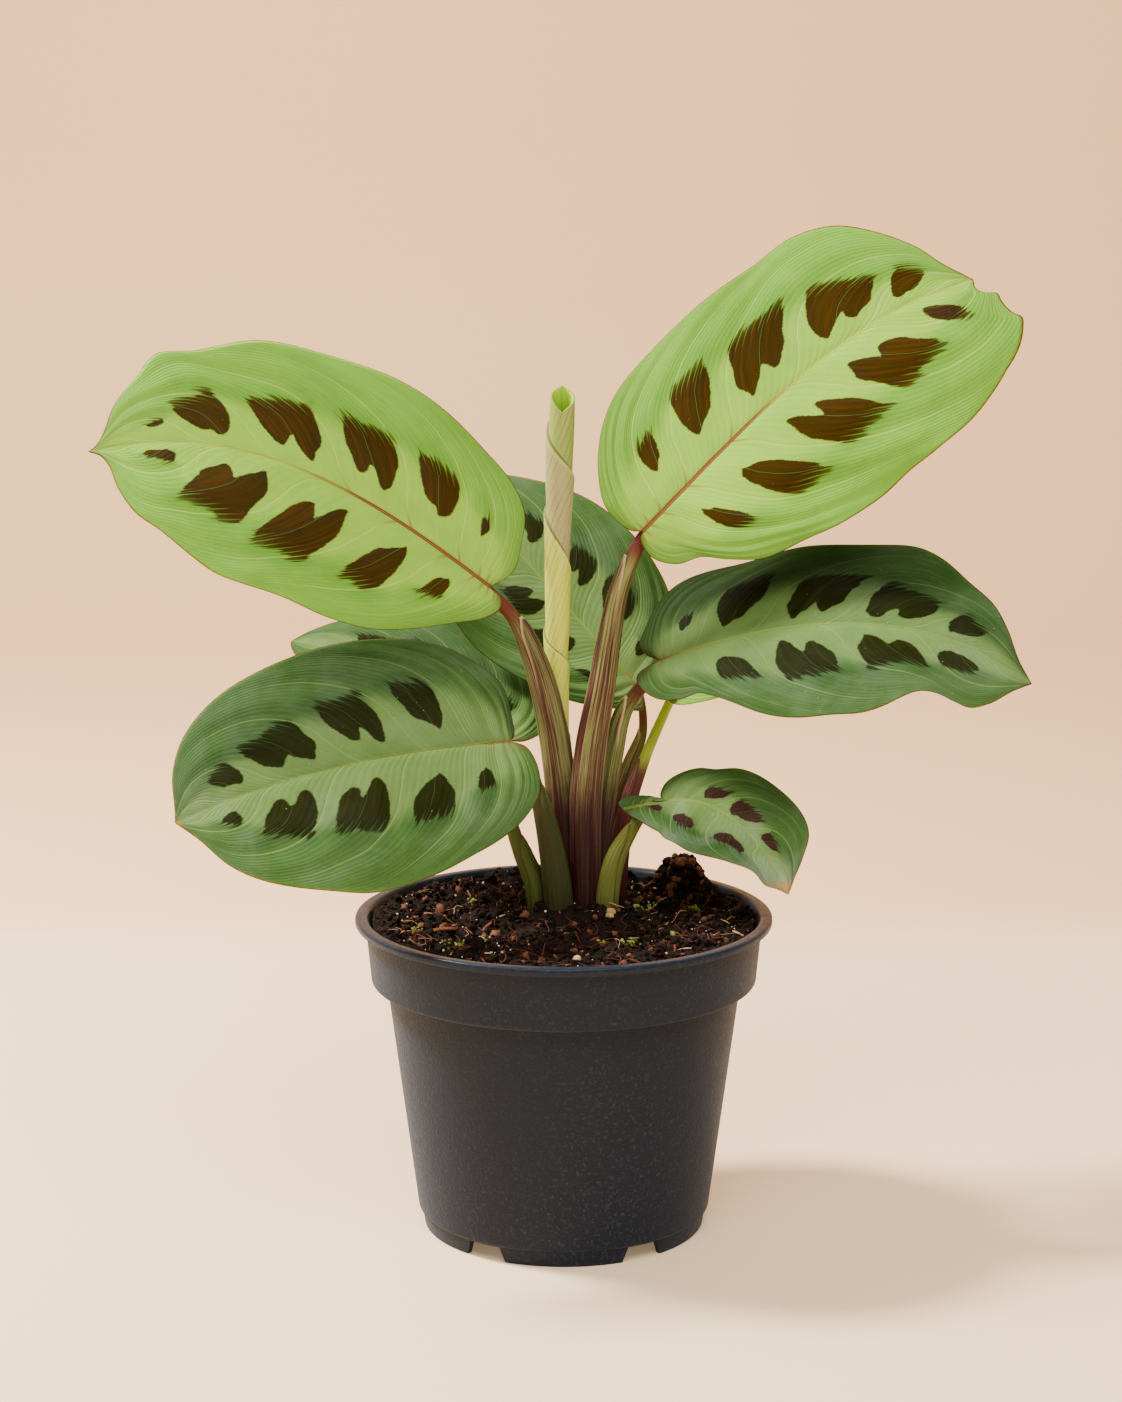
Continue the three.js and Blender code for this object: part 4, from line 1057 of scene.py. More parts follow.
def build_blade(name, leaf, sizes, seed):
    """One closed blade: two faces that meet along the margin and share the midrib."""
    rows, steps = sizes.rows, sizes.steps
    grids, faces, indices, shared = [], [], [], {}
    for side, sign in (("left", 1), ("right", -1)):
        upper, lower, *places = blade_half(leaf, side, sign, sizes, seed)
        for face, skin in enumerate((upper, lower)):
            numbers = np.arange((rows + 1) * (steps + 1)).reshape(rows + 1, steps + 1)
            numbers += len(grids) * numbers.size
            grids.append([grid.reshape(-1, 3) for grid in (skin, *places)])
            numbers[:, 0] = shared.setdefault(("midrib", face), numbers[:, 0].copy())
            numbers[:, -1] = shared.setdefault(("margin", side), numbers[:, -1].copy())
            for row in (0, -1):
                numbers[row] = shared.setdefault(("end", row), numbers[row, 0])
            new_faces = grid_faces(numbers, flip=(sign > 0) == (face == 1))
            faces += new_faces
            indices += [face] * len(new_faces)
    used = np.unique([corner for face in faces for corner in face])
    fresh = dict(zip(used.tolist(), range(len(used))))
    faces = [tuple(fresh[corner] for corner in face) for face in faces]
    points, *places = (np.concatenate(part)[used] for part in zip(*grids))
    materials = [leaf_material(name, leaf, sizes, lower) for lower in (False, True)]
    piece = new_object("leaf_" + name, points, faces, materials, indices)
    for label, values in zip(("vein_place", "flat_place", "blotch_place"), places):
        write_places(piece, label, values)
    return piece


# ---------------------------------------------------------------- stalks

def stalk_line(points, rows):
    """Centres, tangents and half widths along a stalk from its x, y, z, half width points."""
    places = np.linspace(0, 1, rows)
    middles = [p[:3] for p in points]
    ahead = through(middles, np.minimum(places + 1e-3, 1))
    behind = through(middles, np.maximum(places - 1e-3, 0))
    halves = np.interp(places * (len(points) - 1), np.arange(len(points)), [p[3] for p in points])
    return through(middles, places), unit(ahead - behind), halves


def section_axes(along):
    across = unit(np.array([1.0, 0, 0]) - along * along[:, :1])
    return across, np.cross(along, across)


def stalk_material(name, tip_height, dark, light, foot, top, edge):
    material, graph, shader = new_material(name)
    place = graph.attribute("round_place")
    outputs = graph.group(stalk_stripes, {
        "Round place": place, "Zone": graph.attribute("zone"),
        "Below tip": tip_height - graph.split(place)[1],
        "Dark": dark, "Light": light, "Foot": foot, "Top": top, "Edge": edge,
    })
    graph.fill(shader, {
        "Base Color": outputs["Colour"], "Roughness": outputs["Roughness"], "Specular IOR Level": 0.2,
        "Subsurface Weight": 0.08, "Subsurface Scale": 0.002, "Normal": graph.bump(outputs["Height"]),
    })
    return material


FOOT_REACH = 52  # height above the soil up to which a stalk takes the colour of its foot
SHEATH_TURN = 52  # degrees that a sheath's free tip stands round from the front


def build_stalk(name, points, sheath, sizes, material, seed, rows=170, sides=72):
    """A petiole with its sheath: a ribbed wrap whose free tip stands beside the bare stretch."""
    tip_height, side, taper = sheath
    centres, along, halves = stalk_line(points, rows)
    across, out = section_axes(along)
    heights, halves, rib = centres[:, 2:], halves[:, None], sizes.rib / MM
    foot = np.clip((SOIL_LEVEL + FOOT_REACH - heights) / FOOT_REACH, 0, 1)
    grids, round_place, zone = [], [], []

    def add_skin(x, y, angle, number, wrapped, margin):
        """Keeps a grid of points x across and y out from the line, with the places the material reads."""
        own, blank = np.s_[:len(x), None], np.zeros_like(x)
        grids.append(centres[own] + x[..., None] * across[own] + y[..., None] * out[own])
        for store, values in ((round_place, (angle / (2 * np.pi) % 1, heights[:len(x)], number)),
                              (zone, (wrapped, foot[:len(x)], margin))):
            store.append(np.stack([value + blank for value in values], axis=-1).reshape(-1, 3))

    angle = np.linspace(0, 2 * np.pi, sides, endpoint=False)
    wrap = np.clip((tip_height - heights) / 7 + 0.5, 0, 1)
    wrap = wrap * wrap * (3 - 2 * wrap)
    ribs = 0.6 * np.cos(17 * angle + seed) + 0.4 * np.cos(29 * angle + 2 * seed)
    lift = rib * ribs * wrap + 0.03 * np.cos(7 * angle)
    radius = halves * (1 - 0.1 * wrap)
    add_skin((radius + lift) * np.cos(angle) - 0.1 * halves * side * wrap,
             (radius * STALK_DEPTH + lift) * np.sin(angle), angle, seed, wrap, 9.0)
    faces = tube_faces(rows, sides)

    # the sheath's wrap, a curved strip with an outer and an inner skin
    wall, strip = sizes.sheath_wall / MM, 34
    last = int(np.searchsorted(heights[:, 0], tip_height))
    part = np.arange(last + 1)[:, None] / last
    to_tip = tip_height - heights[:last + 1]
    blunt = np.sqrt(np.maximum(0.1, 1 - np.maximum(0, 1 - to_tip / taper) ** 2))
    spread = np.radians(115 - 62 * part) * blunt
    away = 0.3 * np.maximum(0, 1 - to_tip / 7) ** 2
    place = np.linspace(-1, 1, strip + 1)
    middle = math.radians(-90 + SHEATH_TURN * side)
    angle = middle + spread * place
    edge_mm = (1 - abs(place)) * spread * halves[:last + 1]
    thick = wall * np.minimum(1, 0.25 + edge_mm / 1.2)
    ribbed = halves[:last + 1] + rib * 1.3 * np.cos(19 * angle + seed) * np.minimum(1, edge_mm)
    for lifted, deeper in ((0.6, 0.3), (-0.4, 0)):
        radius = ribbed + thick * lifted
        add_skin(radius * np.cos(angle) + away * math.cos(middle),
                 (radius * STALK_DEPTH + thick * deeper) * np.sin(angle) + away * math.sin(middle),
                 angle, seed + 0.4, 1.0, np.minimum(edge_mm, to_tip + 0.1))
    outer = np.arange(edge_mm.size).reshape(edge_mm.shape) + rows * sides
    faces += sheet_faces(outer, outer + outer.size)
    piece = new_object(name, np.concatenate([grid.reshape(-1, 3) for grid in grids]), faces, [material])
    turn_faces_out(piece)
    write_places(piece, "round_place", np.concatenate(round_place))
    write_places(piece, "zone", np.concatenate(zone))
    return piece


def full_stalk(leaf):
    """The stalk's points from the rootstock up to where it runs into the blade's midrib."""
    x, y, _, half = leaf["stalk"][0]
    rooted = (x, y, ROOT_TOP + GAP, half * STALK_TAPER)
    top_half = leaf["stalk"][-1][3] * STALK_TAPER
    under = blade_points(leaf, np.array(0.01), np.array(0.0), -(CAD_BLADE / 2 + GAP + top_half))
    into = blade_points(leaf, np.array(0.045), np.array(0.0), -1.0)
    return [rooted, *leaf["stalk"], (*under, top_half), (*into, top_half * 0.45)]


# ---------------------------------------------------------------- rolled leaf

def rolled_material(sizes):
    material, g, shader = new_material("rolled_leaf")
    turn, height, inside = g.split(g.attribute("roll_place"))
    edge_x, edge_y, _ = g.split(g.attribute("roll_edge"))
    past = g.math("ARCTAN2", edge_y, edge_x) / (2 * math.pi)
    wound = g.math("FRACT", past + 1.0)
    cloud = g.noise(g.join(turn * 5.0, height * 0.06, wound), 1.0, 4, 0.6)
    layer = height + wound * 22.0 + (cloud - 0.5) * 14.0
    slant = turn * 15.0 + (height * -0.11 + wound * 2.3)
    streak = g.noise(g.join(slant * 2.2, height * 0.02), 1.0, 3, 0.6)
    veins = g.step(g.to_line(slant), 0.1, 0.02) * g.step(cloud, 0.4, 0.6, 0.25, 1.0)
    tint = g.layers(
        sizes.lime, (layer, 196.0, 214.0, 1.0, sizes.mauve), (layer, 228.0, 243.0, 1.0, sizes.ash),
        (streak, 0.45, 0.7, 0.45, colour(150, 170, 80)), (streak, 0.45, 0.25, 0.4, colour(206, 190, 140)),
    )
    # painted shade: the inside of the mouth darkens to under half its green the deeper it goes into the
    # funnel
    depth = g.layers(sizes.mouth, (inside, 1.0, 1.8, 1.0, dim(sizes.mouth, 0.45)))
    tint = g.layers(
        g.mix(veins * 0.7, tint, sizes.line), (abs(past - 0.008), 0.022, 0.006, 0.75, colour(80, 70, 26)),
        (abs(past - 0.05), 0.04, 0.0, 0.3, colour(206, 210, 120)), (inside, 0.4, 0.8, 1.0, depth),
    )
    g.fill(shader, {
        "Base Color": tint, "Roughness": g.step(cloud, 0.3, 0.7, 0.42, 0.55), "Specular IOR Level": 0.15,
        "Subsurface Weight": 0.15, "Subsurface Scale": 0.002,
        "Normal": g.bump(veins * -0.05 + streak * 0.12),
    })
    return material


def build_rolled_blade(sizes, rows=300, sides=120):
    """The young blade wound on itself, each turn lying on the one above, open at its pointed mouth."""
    radii = [p[3] for p in ROLLED_BLADE]
    centres = through([p[:3] for p in ROLLED_BLADE], np.linspace(0, 1, rows))
    halves = np.interp(np.linspace(0, 1, rows) * (len(radii) - 1), np.arange(len(radii)), radii)
    halves = halves + np.interp(centres[:, 2], *zip(*ROLL_SWELL))
    heights, turns = zip(*ROLL_EDGE[::-1])
    spread = np.linspace(-4, 4, 9)
    edges = np.mean([np.interp(centres[:, 2] + shift, heights, turns) for shift in spread], axis=0)
    turn = np.arange(sides) / sides
    rim = np.interp(turn * 4, np.arange(5), ROLL_RIM)
    points, places, winding = [], [], []

    def ring(row, inset, drop, inside):
        wound = (edges[row] - turn) % 1
        lip = (1 - np.clip(wound / 0.025, 0, 1) ** 0.6) * ROLL_OVERLAP
        radius = halves[row] - inset - ROLL_OVERLAP * wound - lip
        close = 1 - 0.6 * (drop / ROLL_MOUTH) ** 1.3
        follow = np.clip((centres[row, 2] - centres[-1, 2]) / ROLL_RIM_DEPTH + 1, 0, 1) ** 2
        z = centres[row, 2] + rim * follow * (1 - 0.7 * drop / ROLL_MOUTH) - drop
        angle = 2 * np.pi * turn
        points.extend(np.stack([
            centres[row, 0] + radius * close * np.cos(angle),
            centres[row, 1] + radius * close * np.sin(angle), z,
        ], axis=1))
        places.extend(np.stack([(turn - 0.25) % 1, z, np.full(sides, inside)], axis=1))
        around = 2 * np.pi * wound
        winding.extend(np.stack([np.cos(around), np.sin(around), 0 * around], axis=1))

    for row in range(rows):
        ring(row, 0, 0, 0.0)
    for drop in np.linspace(0, ROLL_MOUTH, 12):
        ring(rows - 1, ROLL_WALL, drop, 1 + drop / ROLL_MOUTH)
    piece = new_object("rolled_leaf", points, tube_faces(rows + 12, sides), [rolled_material(sizes)])
    turn_faces_out(piece)
    write_places(piece, "roll_place", places)
    write_places(piece, "roll_edge", winding)
    return piece


# ---------------------------------------------------------------- pot

def pot_inside(z):
    """Inner radius of the pot's wall at a height, between its floor and its lip."""
    in_ledge = LEDGE_HEIGHT + WALL
    if z < in_ledge:
        part = (z - STEP_HEIGHT) / (LEDGE_HEIGHT - STEP_HEIGHT)
        return BODY_FOOT_RADIUS + (BODY_TOP_RADIUS - BODY_FOOT_RADIUS) * part - WALL
    part = (z - in_ledge) / (POT_HEIGHT - LIP_HEIGHT - in_ledge)
    return BAND_FOOT_RADIUS + (BAND_TOP_RADIUS - BAND_FOOT_RADIUS) * part - WALL


def rounded(profile):
    """The radius, height points of a profile with each corner cut by an arc of its own size."""
    result = [profile[0][:2]]
    for before, (*here, radius), after in zip(profile, profile[1:], profile[2:]):
        before, here, after = np.array(before[:2]), np.array(here, float), np.array(after[:2])
        towards = [before - here, after - here]
        reach = min(radius, *(0.45 * np.linalg.norm(t) for t in towards))
        first, last = (here + unit(t) * reach for t in towards)
        for part in np.linspace(0, 1, 5 if reach > 0.25 else 3):
            result.append(tuple((1 - part) ** 2 * first + 2 * part * (1 - part) * here + part ** 2 * last))
    return [*result, profile[-1][:2]]


def circle(radius, z, sides):
    angles = np.linspace(0, 2 * np.pi, sides, endpoint=False)
    return np.stack([radius * np.cos(angles), radius * np.sin(angles), np.full(sides, z)], axis=1)


def ringed_body(name, rings, bottom, top, material):
    """A closed body through rings of points, with a fan of triangles to a height on the axis at each end."""
    sides = len(rings[0])
    points = [*np.concatenate(rings), (0, 0, bottom), (0, 0, top)]
    faces = tube_faces(len(rings), sides, closed=False)
    first, inner = len(rings) * sides, (len(rings) - 1) * sides
    for k in range(sides):
        after = (k + 1) % sides
        faces += [(first, after, k), (first + 1, inner + k, inner + after)]
    piece = new_object(name, points, faces, [material])
    turn_faces_out(piece)
    return piece


def prism(mesh, *ends):
    """Adds a closed prism between two rings of corners in mm."""
    low, high = ([mesh.verts.new(Vector(corner) * MM) for corner in ring] for ring in ends)
    mesh.faces.new(low[::-1])
    mesh.faces.new(high)
    for k in range(len(low)):
        after = (k + 1) % len(low)
        mesh.faces.new((low[k], low[after], high[after], high[k]))


def pot_material(sizes):
    material, g, shader = new_material("pot_plastic")
    grain = g.group(fine_grain, {"Scale": 1050.0, "Depth": 0.15})
    place = g.place()
    lip_foot = (POT_HEIGHT - LIP_HEIGHT) * MM
    lip = g.step(g.split(place)[2], lip_foot, lip_foot + 0.6 * MM)
    tint = g.mix(grain["Dust"] * 0.36, sizes.plastic, sizes.dust)
    tint = g.layers(tint, (grain["Grain"], 0.4, 0.2, 0.35, colour(14, 16, 24)))
    flow = g.noise(place, 160.0, 3) * 0.16
    g.fill(shader, {
        # the lip's colour is mixed a little towards the dust colour: a faint painted highlight along it
        "Base Color": g.mix(lip * 0.04, tint, sizes.dust), "Specular IOR Level": 0.13,
        "Roughness": g.step(grain["Grain"], 0.3, 0.7, 0.5, 0.66) - lip * 0.2,
        "Sheen Weight": 0.07, "Sheen Tint": (0.35, 0.62, 1.0),
        "Normal": g.bump(grain["Height"] * (1.0 - lip * 0.75) + flow),
    })
    return material


def pot_profile():
    """Radius, height and rounding of each corner: out under the floor, up the outside, down the inside."""
    lip_foot, in_ledge = POT_HEIGHT - LIP_HEIGHT, LEDGE_HEIGHT + WALL
    return [
        (0, FLOOR_TOP - WALL, 0), (FOOT_RADIUS - FOOT_WALL, FLOOR_TOP - WALL, 0.3),
        (FOOT_RADIUS - FOOT_WALL, 0, 0.3), (FOOT_RADIUS, 0, 0.4), (FOOT_TOP_RADIUS, STEP_HEIGHT - 0.6, 0.3),
        (BODY_FOOT_RADIUS, STEP_HEIGHT, 0.5), (BODY_TOP_RADIUS, LEDGE_HEIGHT - 0.8, 0.8),
        (BODY_TOP_RADIUS + 0.6, LEDGE_HEIGHT, 0.5), (BAND_FOOT_RADIUS, LEDGE_HEIGHT, 1.1),
        (BAND_TOP_RADIUS, lip_foot - 0.5, 0.8), (RIM_RADIUS, lip_foot - 0.1, 0.7),
        (RIM_RADIUS, POT_HEIGHT, 1.1), (BAND_TOP_RADIUS - 0.2, POT_HEIGHT, 0.9),
        (BAND_TOP_RADIUS - WALL + 0.3, POT_HEIGHT - 1.2, 0.8), (pot_inside(lip_foot), lip_foot, 0.6),
        (pot_inside(in_ledge), in_ledge, 0.4), (pot_inside(LEDGE_HEIGHT), in_ledge, 0.4),
        (pot_inside(FLOOR_TOP), FLOOR_TOP, 0.5), (0, FLOOR_TOP, 0),
    ]


def pot_holes():
    """The notches of the foot ring and the drain holes, as solids to cut away."""
    cutter = bmesh.new()
    corners = [(-NOTCH_WIDE / 2, -1), (NOTCH_WIDE / 2, -1), (NOTCH_NARROW / 2, NOTCH_HEIGHT),
               (-NOTCH_NARROW / 2, NOTCH_HEIGHT)]
    drains = [np.zeros(3)]
    for azimuth in NOTCH_AZIMUTHS:
        angle = math.radians(azimuth)
        outward = np.array([math.cos(angle), math.sin(angle), 0])
        beside = np.array([-math.sin(angle), math.cos(angle), 0])
        prism(cutter, *([outward * reach + beside * x + (0, 0, z) for x, z in corners]
                        for reach in (FOOT_RADIUS + 1 - NOTCH_REACH, FOOT_RADIUS + 1.5)))
        drains.append(outward * DRAIN_RING)
    for middle in drains:
        prism(cutter, *(circle(DRAIN_RADIUS, z, 32) + middle
                        for z in (FLOOR_TOP - 4 * WALL, FLOOR_TOP + 2 * WALL)))
    bmesh.ops.recalc_face_normals(cutter, faces=cutter.faces)
    holes = new_object("pot_holes", [(0, 0, 0)], [], [])
    cutter.to_mesh(holes.data)
    cutter.free()
    return holes


def build_pot(sizes):
    profile = rounded(pot_profile())
    rings = [circle(radius, z, sizes.sides) for radius, z in profile[1:-1]]
    piece = ringed_body("pot_shell", rings, profile[0][1], profile[-1][1], pot_material(sizes))
    holes = pot_holes()
    cut = piece.modifiers.new("Notches", "BOOLEAN")
    cut.operation = "DIFFERENCE"
    cut.solver = "EXACT"
    cut.object = holes
    seen = piece.evaluated_get(bpy.context.evaluated_depsgraph_get())
    shape = bpy.data.meshes.new_from_object(seen)
    piece.modifiers.clear()
    piece.data = shape
    bpy.data.objects.remove(holes)
    crease(piece, POT_CREASE)
    return piece


# ---------------------------------------------------------------- soil

RIM_HEAP = 1.3  # how much higher the soil lies along the pot's wall


def soil_height(x, y, rough):
    """Height of the soil's surface, with its clods and crumbs."""
    bumps = [(*CROWN, CROWN_MOUND, CROWN_SPREAD), *LUMPS]
    z = SOIL_LEVEL + 0.6 * math.sin(0.31 * x + 1.1) * math.cos(0.27 * y - 0.4)
    z += 0.4 * math.sin(0.63 * x - 0.52 * y + 2)
    for cx, cy, height, spread in bumps:
        z += height * math.exp(-((x - cx) ** 2 + (y - cy) ** 2) / spread ** 2)
    z += RIM_HEAP * min(1, max(0, (math.hypot(x, y) - 38) / 14)) ** 2
    for size, share in ((9, 0.8), (4.5, 0.55), (2, 0.36), (0.9, 0.2)):
        z += rough * share * noise.noise(Vector((x / size, y / size, 3 + 5 * size)))
    return z


def soil_material(sizes, name="peat_soil", light=0.35):
    material, g, shader = new_material(name)
    place = g.place()
    coarse = g.noise(place, 130.0, 4, 0.65)
    fine = g.noise(place, 900.0, 4, 0.7)
    grain = g.cells(place, 1500.0)
    tint = g.layers(
        sizes.peat, (coarse, 0.42, 0.7, light, sizes.peat_light), (fine, 0.5, 0.72, 0.5, sizes.peat_light),
        (fine, 0.45, 0.28, 0.8, colour(12, 7, 5)), (grain, 0.16, 0.05, 0.2, colour(130, 84, 54)),
    )
    g.fill(shader, {
        "Base Color": tint, "Roughness": g.step(fine, 0.3, 0.7, 0.62, 0.95), "Specular IOR Level": 0.12,
        "Normal": g.bump(fine * 0.9 + coarse * 0.6 + grain * 0.4),
    })
    return material


def build_soil(sizes, sectors=384, rings=116):
    rough = sizes.rough / MM
    in_ledge = LEDGE_HEIGHT + WALL + GAP
    bottom = FLOOR_TOP + GAP
    wall = [
        (pot_inside(bottom), bottom), (pot_inside(LEDGE_HEIGHT), LEDGE_HEIGHT),
        (pot_inside(LEDGE_HEIGHT), in_ledge), (pot_inside(in_ledge), in_ledge),
    ]
    rows = [circle(radius - GAP, z, sectors) for radius, z in wall]
    for k in range(rings, 0, -1):
        ring = circle((pot_inside(SOIL_LEVEL - 2) - GAP) * k / rings, 0, sectors)
        ring[:, 2] = [soil_height(x, y, rough) for x, y, _ in ring]
        rows.append(ring)
    return ringed_body("soil_bed", rows, bottom, soil_height(0, 0, rough), soil_material(sizes))


def plain_material(name, base, other, rough, scale, relief=0.2):
    """A material of two clouded colours with fine relief."""
    material, g, shader = new_material(name)
    place = g.place()
    fine = g.noise(place, scale * 6, 3, 0.6)
    tint = g.layers(base, (g.noise(place, scale, 4, 0.65), 0.35, 0.68, 1.0, other),
                    (fine, 0.5, 0.3, 0.45, dim(base, 0.45)))
    g.fill(shader, {
        "Base Color": tint, "Roughness": g.step(fine, 0.3, 0.7, rough - 0.12, rough),
        "Specular IOR Level": 0.2, "Normal": g.bump(fine * relief),
    })
    return material


class Scatter:
    """Gathers many small loose shapes into one mesh, each with its material number."""

    def __init__(self, seed):
        self.random = np.random.default_rng(seed)
        self.points, self.faces, self.indices = [], [], []
        ball = bmesh.new()
        bmesh.ops.create_icosphere(ball, subdivisions=2, radius=1)
        self.ball = np.array([v.co[:] for v in ball.verts])
        self.ball_faces = [[v.index for v in f.verts] for f in ball.faces]
        ball.free()

    def turned(self, points, tilt):
        """Points turned at random about the vertical and tipped by up to tilt radians."""
        spin, lean, way = self.random.uniform(0, 2 * np.pi, 3)
        lean = self.random.normal(0, tilt)
        c, s = math.cos(spin), math.sin(spin)
        points = points @ np.array([[c, s, 0], [-s, c, 0], [0, 0, 1]])
        axis = np.array([math.cos(way), math.sin(way), 0])
        return (points * math.cos(lean) + np.cross(axis, points) * math.sin(lean)
                + np.outer(points @ axis, axis) * (1 - math.cos(lean)))

    def take(self, points, faces, index):
        start = sum(len(p) for p in self.points)
        self.points.append(points)
        self.faces += [tuple(start + k for k in face) for face in faces]
        self.indices += [index] * len(faces)

    def crumb(self, place, size, index, angular=0.0):
        """A rough lump."""
        shift = self.random.uniform(0, 50, 3)
        bent = []
        for p in self.ball:
            swell = noise.noise(Vector(p * 1.3 + shift)) * 0.6 + noise.noise(Vector(p * 3.1 + shift)) * 0.3
            bent.append(p * (1 + swell * (1 - angular)))
        squash = self.random.uniform(0.5, 1.0, 3)
        points = self.turned(np.array(bent) * squash * size, 0.8)
        self.take(points + place, self.ball_faces, index)

    def flake(self, place, long, wide, thick, index, tilt):
        """A splinter or flake: a flat ragged strip, slightly bowed."""
        steps, bend = 6, 0.15
        along = np.linspace(-0.5, 0.5, steps + 1)
        halves = wide / 2 * (1 - np.abs(2 * along) ** 3 * self.random.uniform(0.3, 0.95))
        halves = halves * self.random.uniform(0.75, 1.15, steps + 1)
        bow = bend * long * (0.25 - along ** 2)
        points = []
        for z in (-thick / 2, thick / 2):
            for a, half, up in zip(along, halves, bow):
                for side in (-1, 0, 1):
                    points.append((a * long, side * half, z * (1 - 0.5 * abs(side)) + up))
        low = np.arange(3 * (steps + 1)).reshape(steps + 1, 3)
        self.take(self.turned(np.array(points), tilt) + place, sheet_faces(low, low + low.size), index)

    def fibre(self, points, radius, index):
        steps, sides = 14, 5
        centres = through(points, np.linspace(0, 1, steps))
        along = unit(np.gradient(centres, axis=0))
        across = unit(np.cross(along, np.array([0.1, 0.2, 1.0])))
        up = np.cross(along, across)
        turn = np.linspace(0, 2 * np.pi, sides, endpoint=False)
        rings = [c + radius * (np.outer(np.cos(turn), a) + np.outer(np.sin(turn), b))
                 for c, a, b in zip(centres, across, up)]
        self.take(np.concatenate(rings), tube_faces(steps, sides), index)

    def piece(self, name, materials):
        result = new_object(name, np.concatenate(self.points), self.faces, materials, self.indices)
        turn_faces_out(result)
        return result


STALK_FEET = [leaf["stalk"][0][:2] for leaf in LEAVES.values()] + [ROLLED_STALK[0][:2]]


def on_soil(x, y, rough, lift):
    """The point at this height above the soil's surface."""
    return np.array([x, y, soil_height(x, y, rough) + lift])


def soil_spots(random, count, rough, lift, clear):
    """Places on the soil's surface, clear of the stalks."""
    found = []
    while len(found) < count:
        radius, angle = SPOT_REACH * math.sqrt(random.uniform()), random.uniform(0, 2 * math.pi)
        x, y = radius * math.cos(angle), radius * math.sin(angle)
        if min(math.hypot(x - a, y - b) for a, b in STALK_FEET) > clear:
            found.append(on_soil(x, y, rough, lift))
    return found


# x, y, size of the larger things that lie on the soil: pale chips, bark, and moss with its lie in degrees
CHIPS = [(13.6, -3.4, 1.6), (13.1, -7, 1.5), (3.6, -41, 1.5), (24, -38, 1.1), (-30, -28, 1.0), (19, 8, 1.1)]
MOSS = [(-27, -26, 5.5, 22), (23, 12, 4.2, 10), (10.5, -23, 1.9, 0), (18.6, -26, 2.4, 10),
        (31, -18, 2.2, 40), (-27, 17, 2.0, 60), (38, 14, 2.6, -30), (-43, -8, 2.4, 15)]
BARK = [(-1, -31, 5.5), (-34, -14, 7), (30, -4, 6), (-12, -44, 6), (40, 8, 5), (8, -20, 4)]


CLOD_CRUMBS = 150  # crumbs on the largest clod, besides those everywhere
FIBRE_REACH = 54  # how far from the axis the fibres wander
SPOT_REACH = 54.3  # how far out things are strewn
CRUMB_REACH = 54.6  # and how far out a crumb may reach, just short of the pot's wall


def build_crumbs(sizes):
    heap = Scatter(11)
    random = heap.random
    rough = sizes.rough / MM
    for place in soil_spots(random, sizes.crumbs, rough, 0.0, 4.5):
        size = 0.3 + random.gamma(2.0, 0.27)
        if math.hypot(place[0], place[1]) <= CRUMB_REACH - size:
            pick = random.uniform()
            index = 2 if pick < 0.12 else 1 if pick < 0.5 else 0
            heap.crumb(place + np.array([0, 0, size * 0.2]), min(size, 2.4), index)
    middle_x, middle_y, _, spread = LUMPS[0]
    for _ in range(CLOD_CRUMBS):
        x, y = random.normal(middle_x, 0.6 * spread), random.normal(middle_y, 0.6 * spread)
        size = random.uniform(0.5, 2.0)
        if math.hypot(x, y) < CRUMB_REACH - size:
            heap.crumb(on_soil(x, y, rough, 0.3 * size), size, 2 if random.uniform() < 0.6 else 1)
    return heap.piece("soil_crumbs", [
        soil_material(sizes, "peat_crumb", 0.2), soil_material(sizes, "peat_crumb_dry", 0.6),
        plain_material("peat_clod", colour(116, 70, 46), colour(70, 40, 24), 0.9, 500.0),
    ])


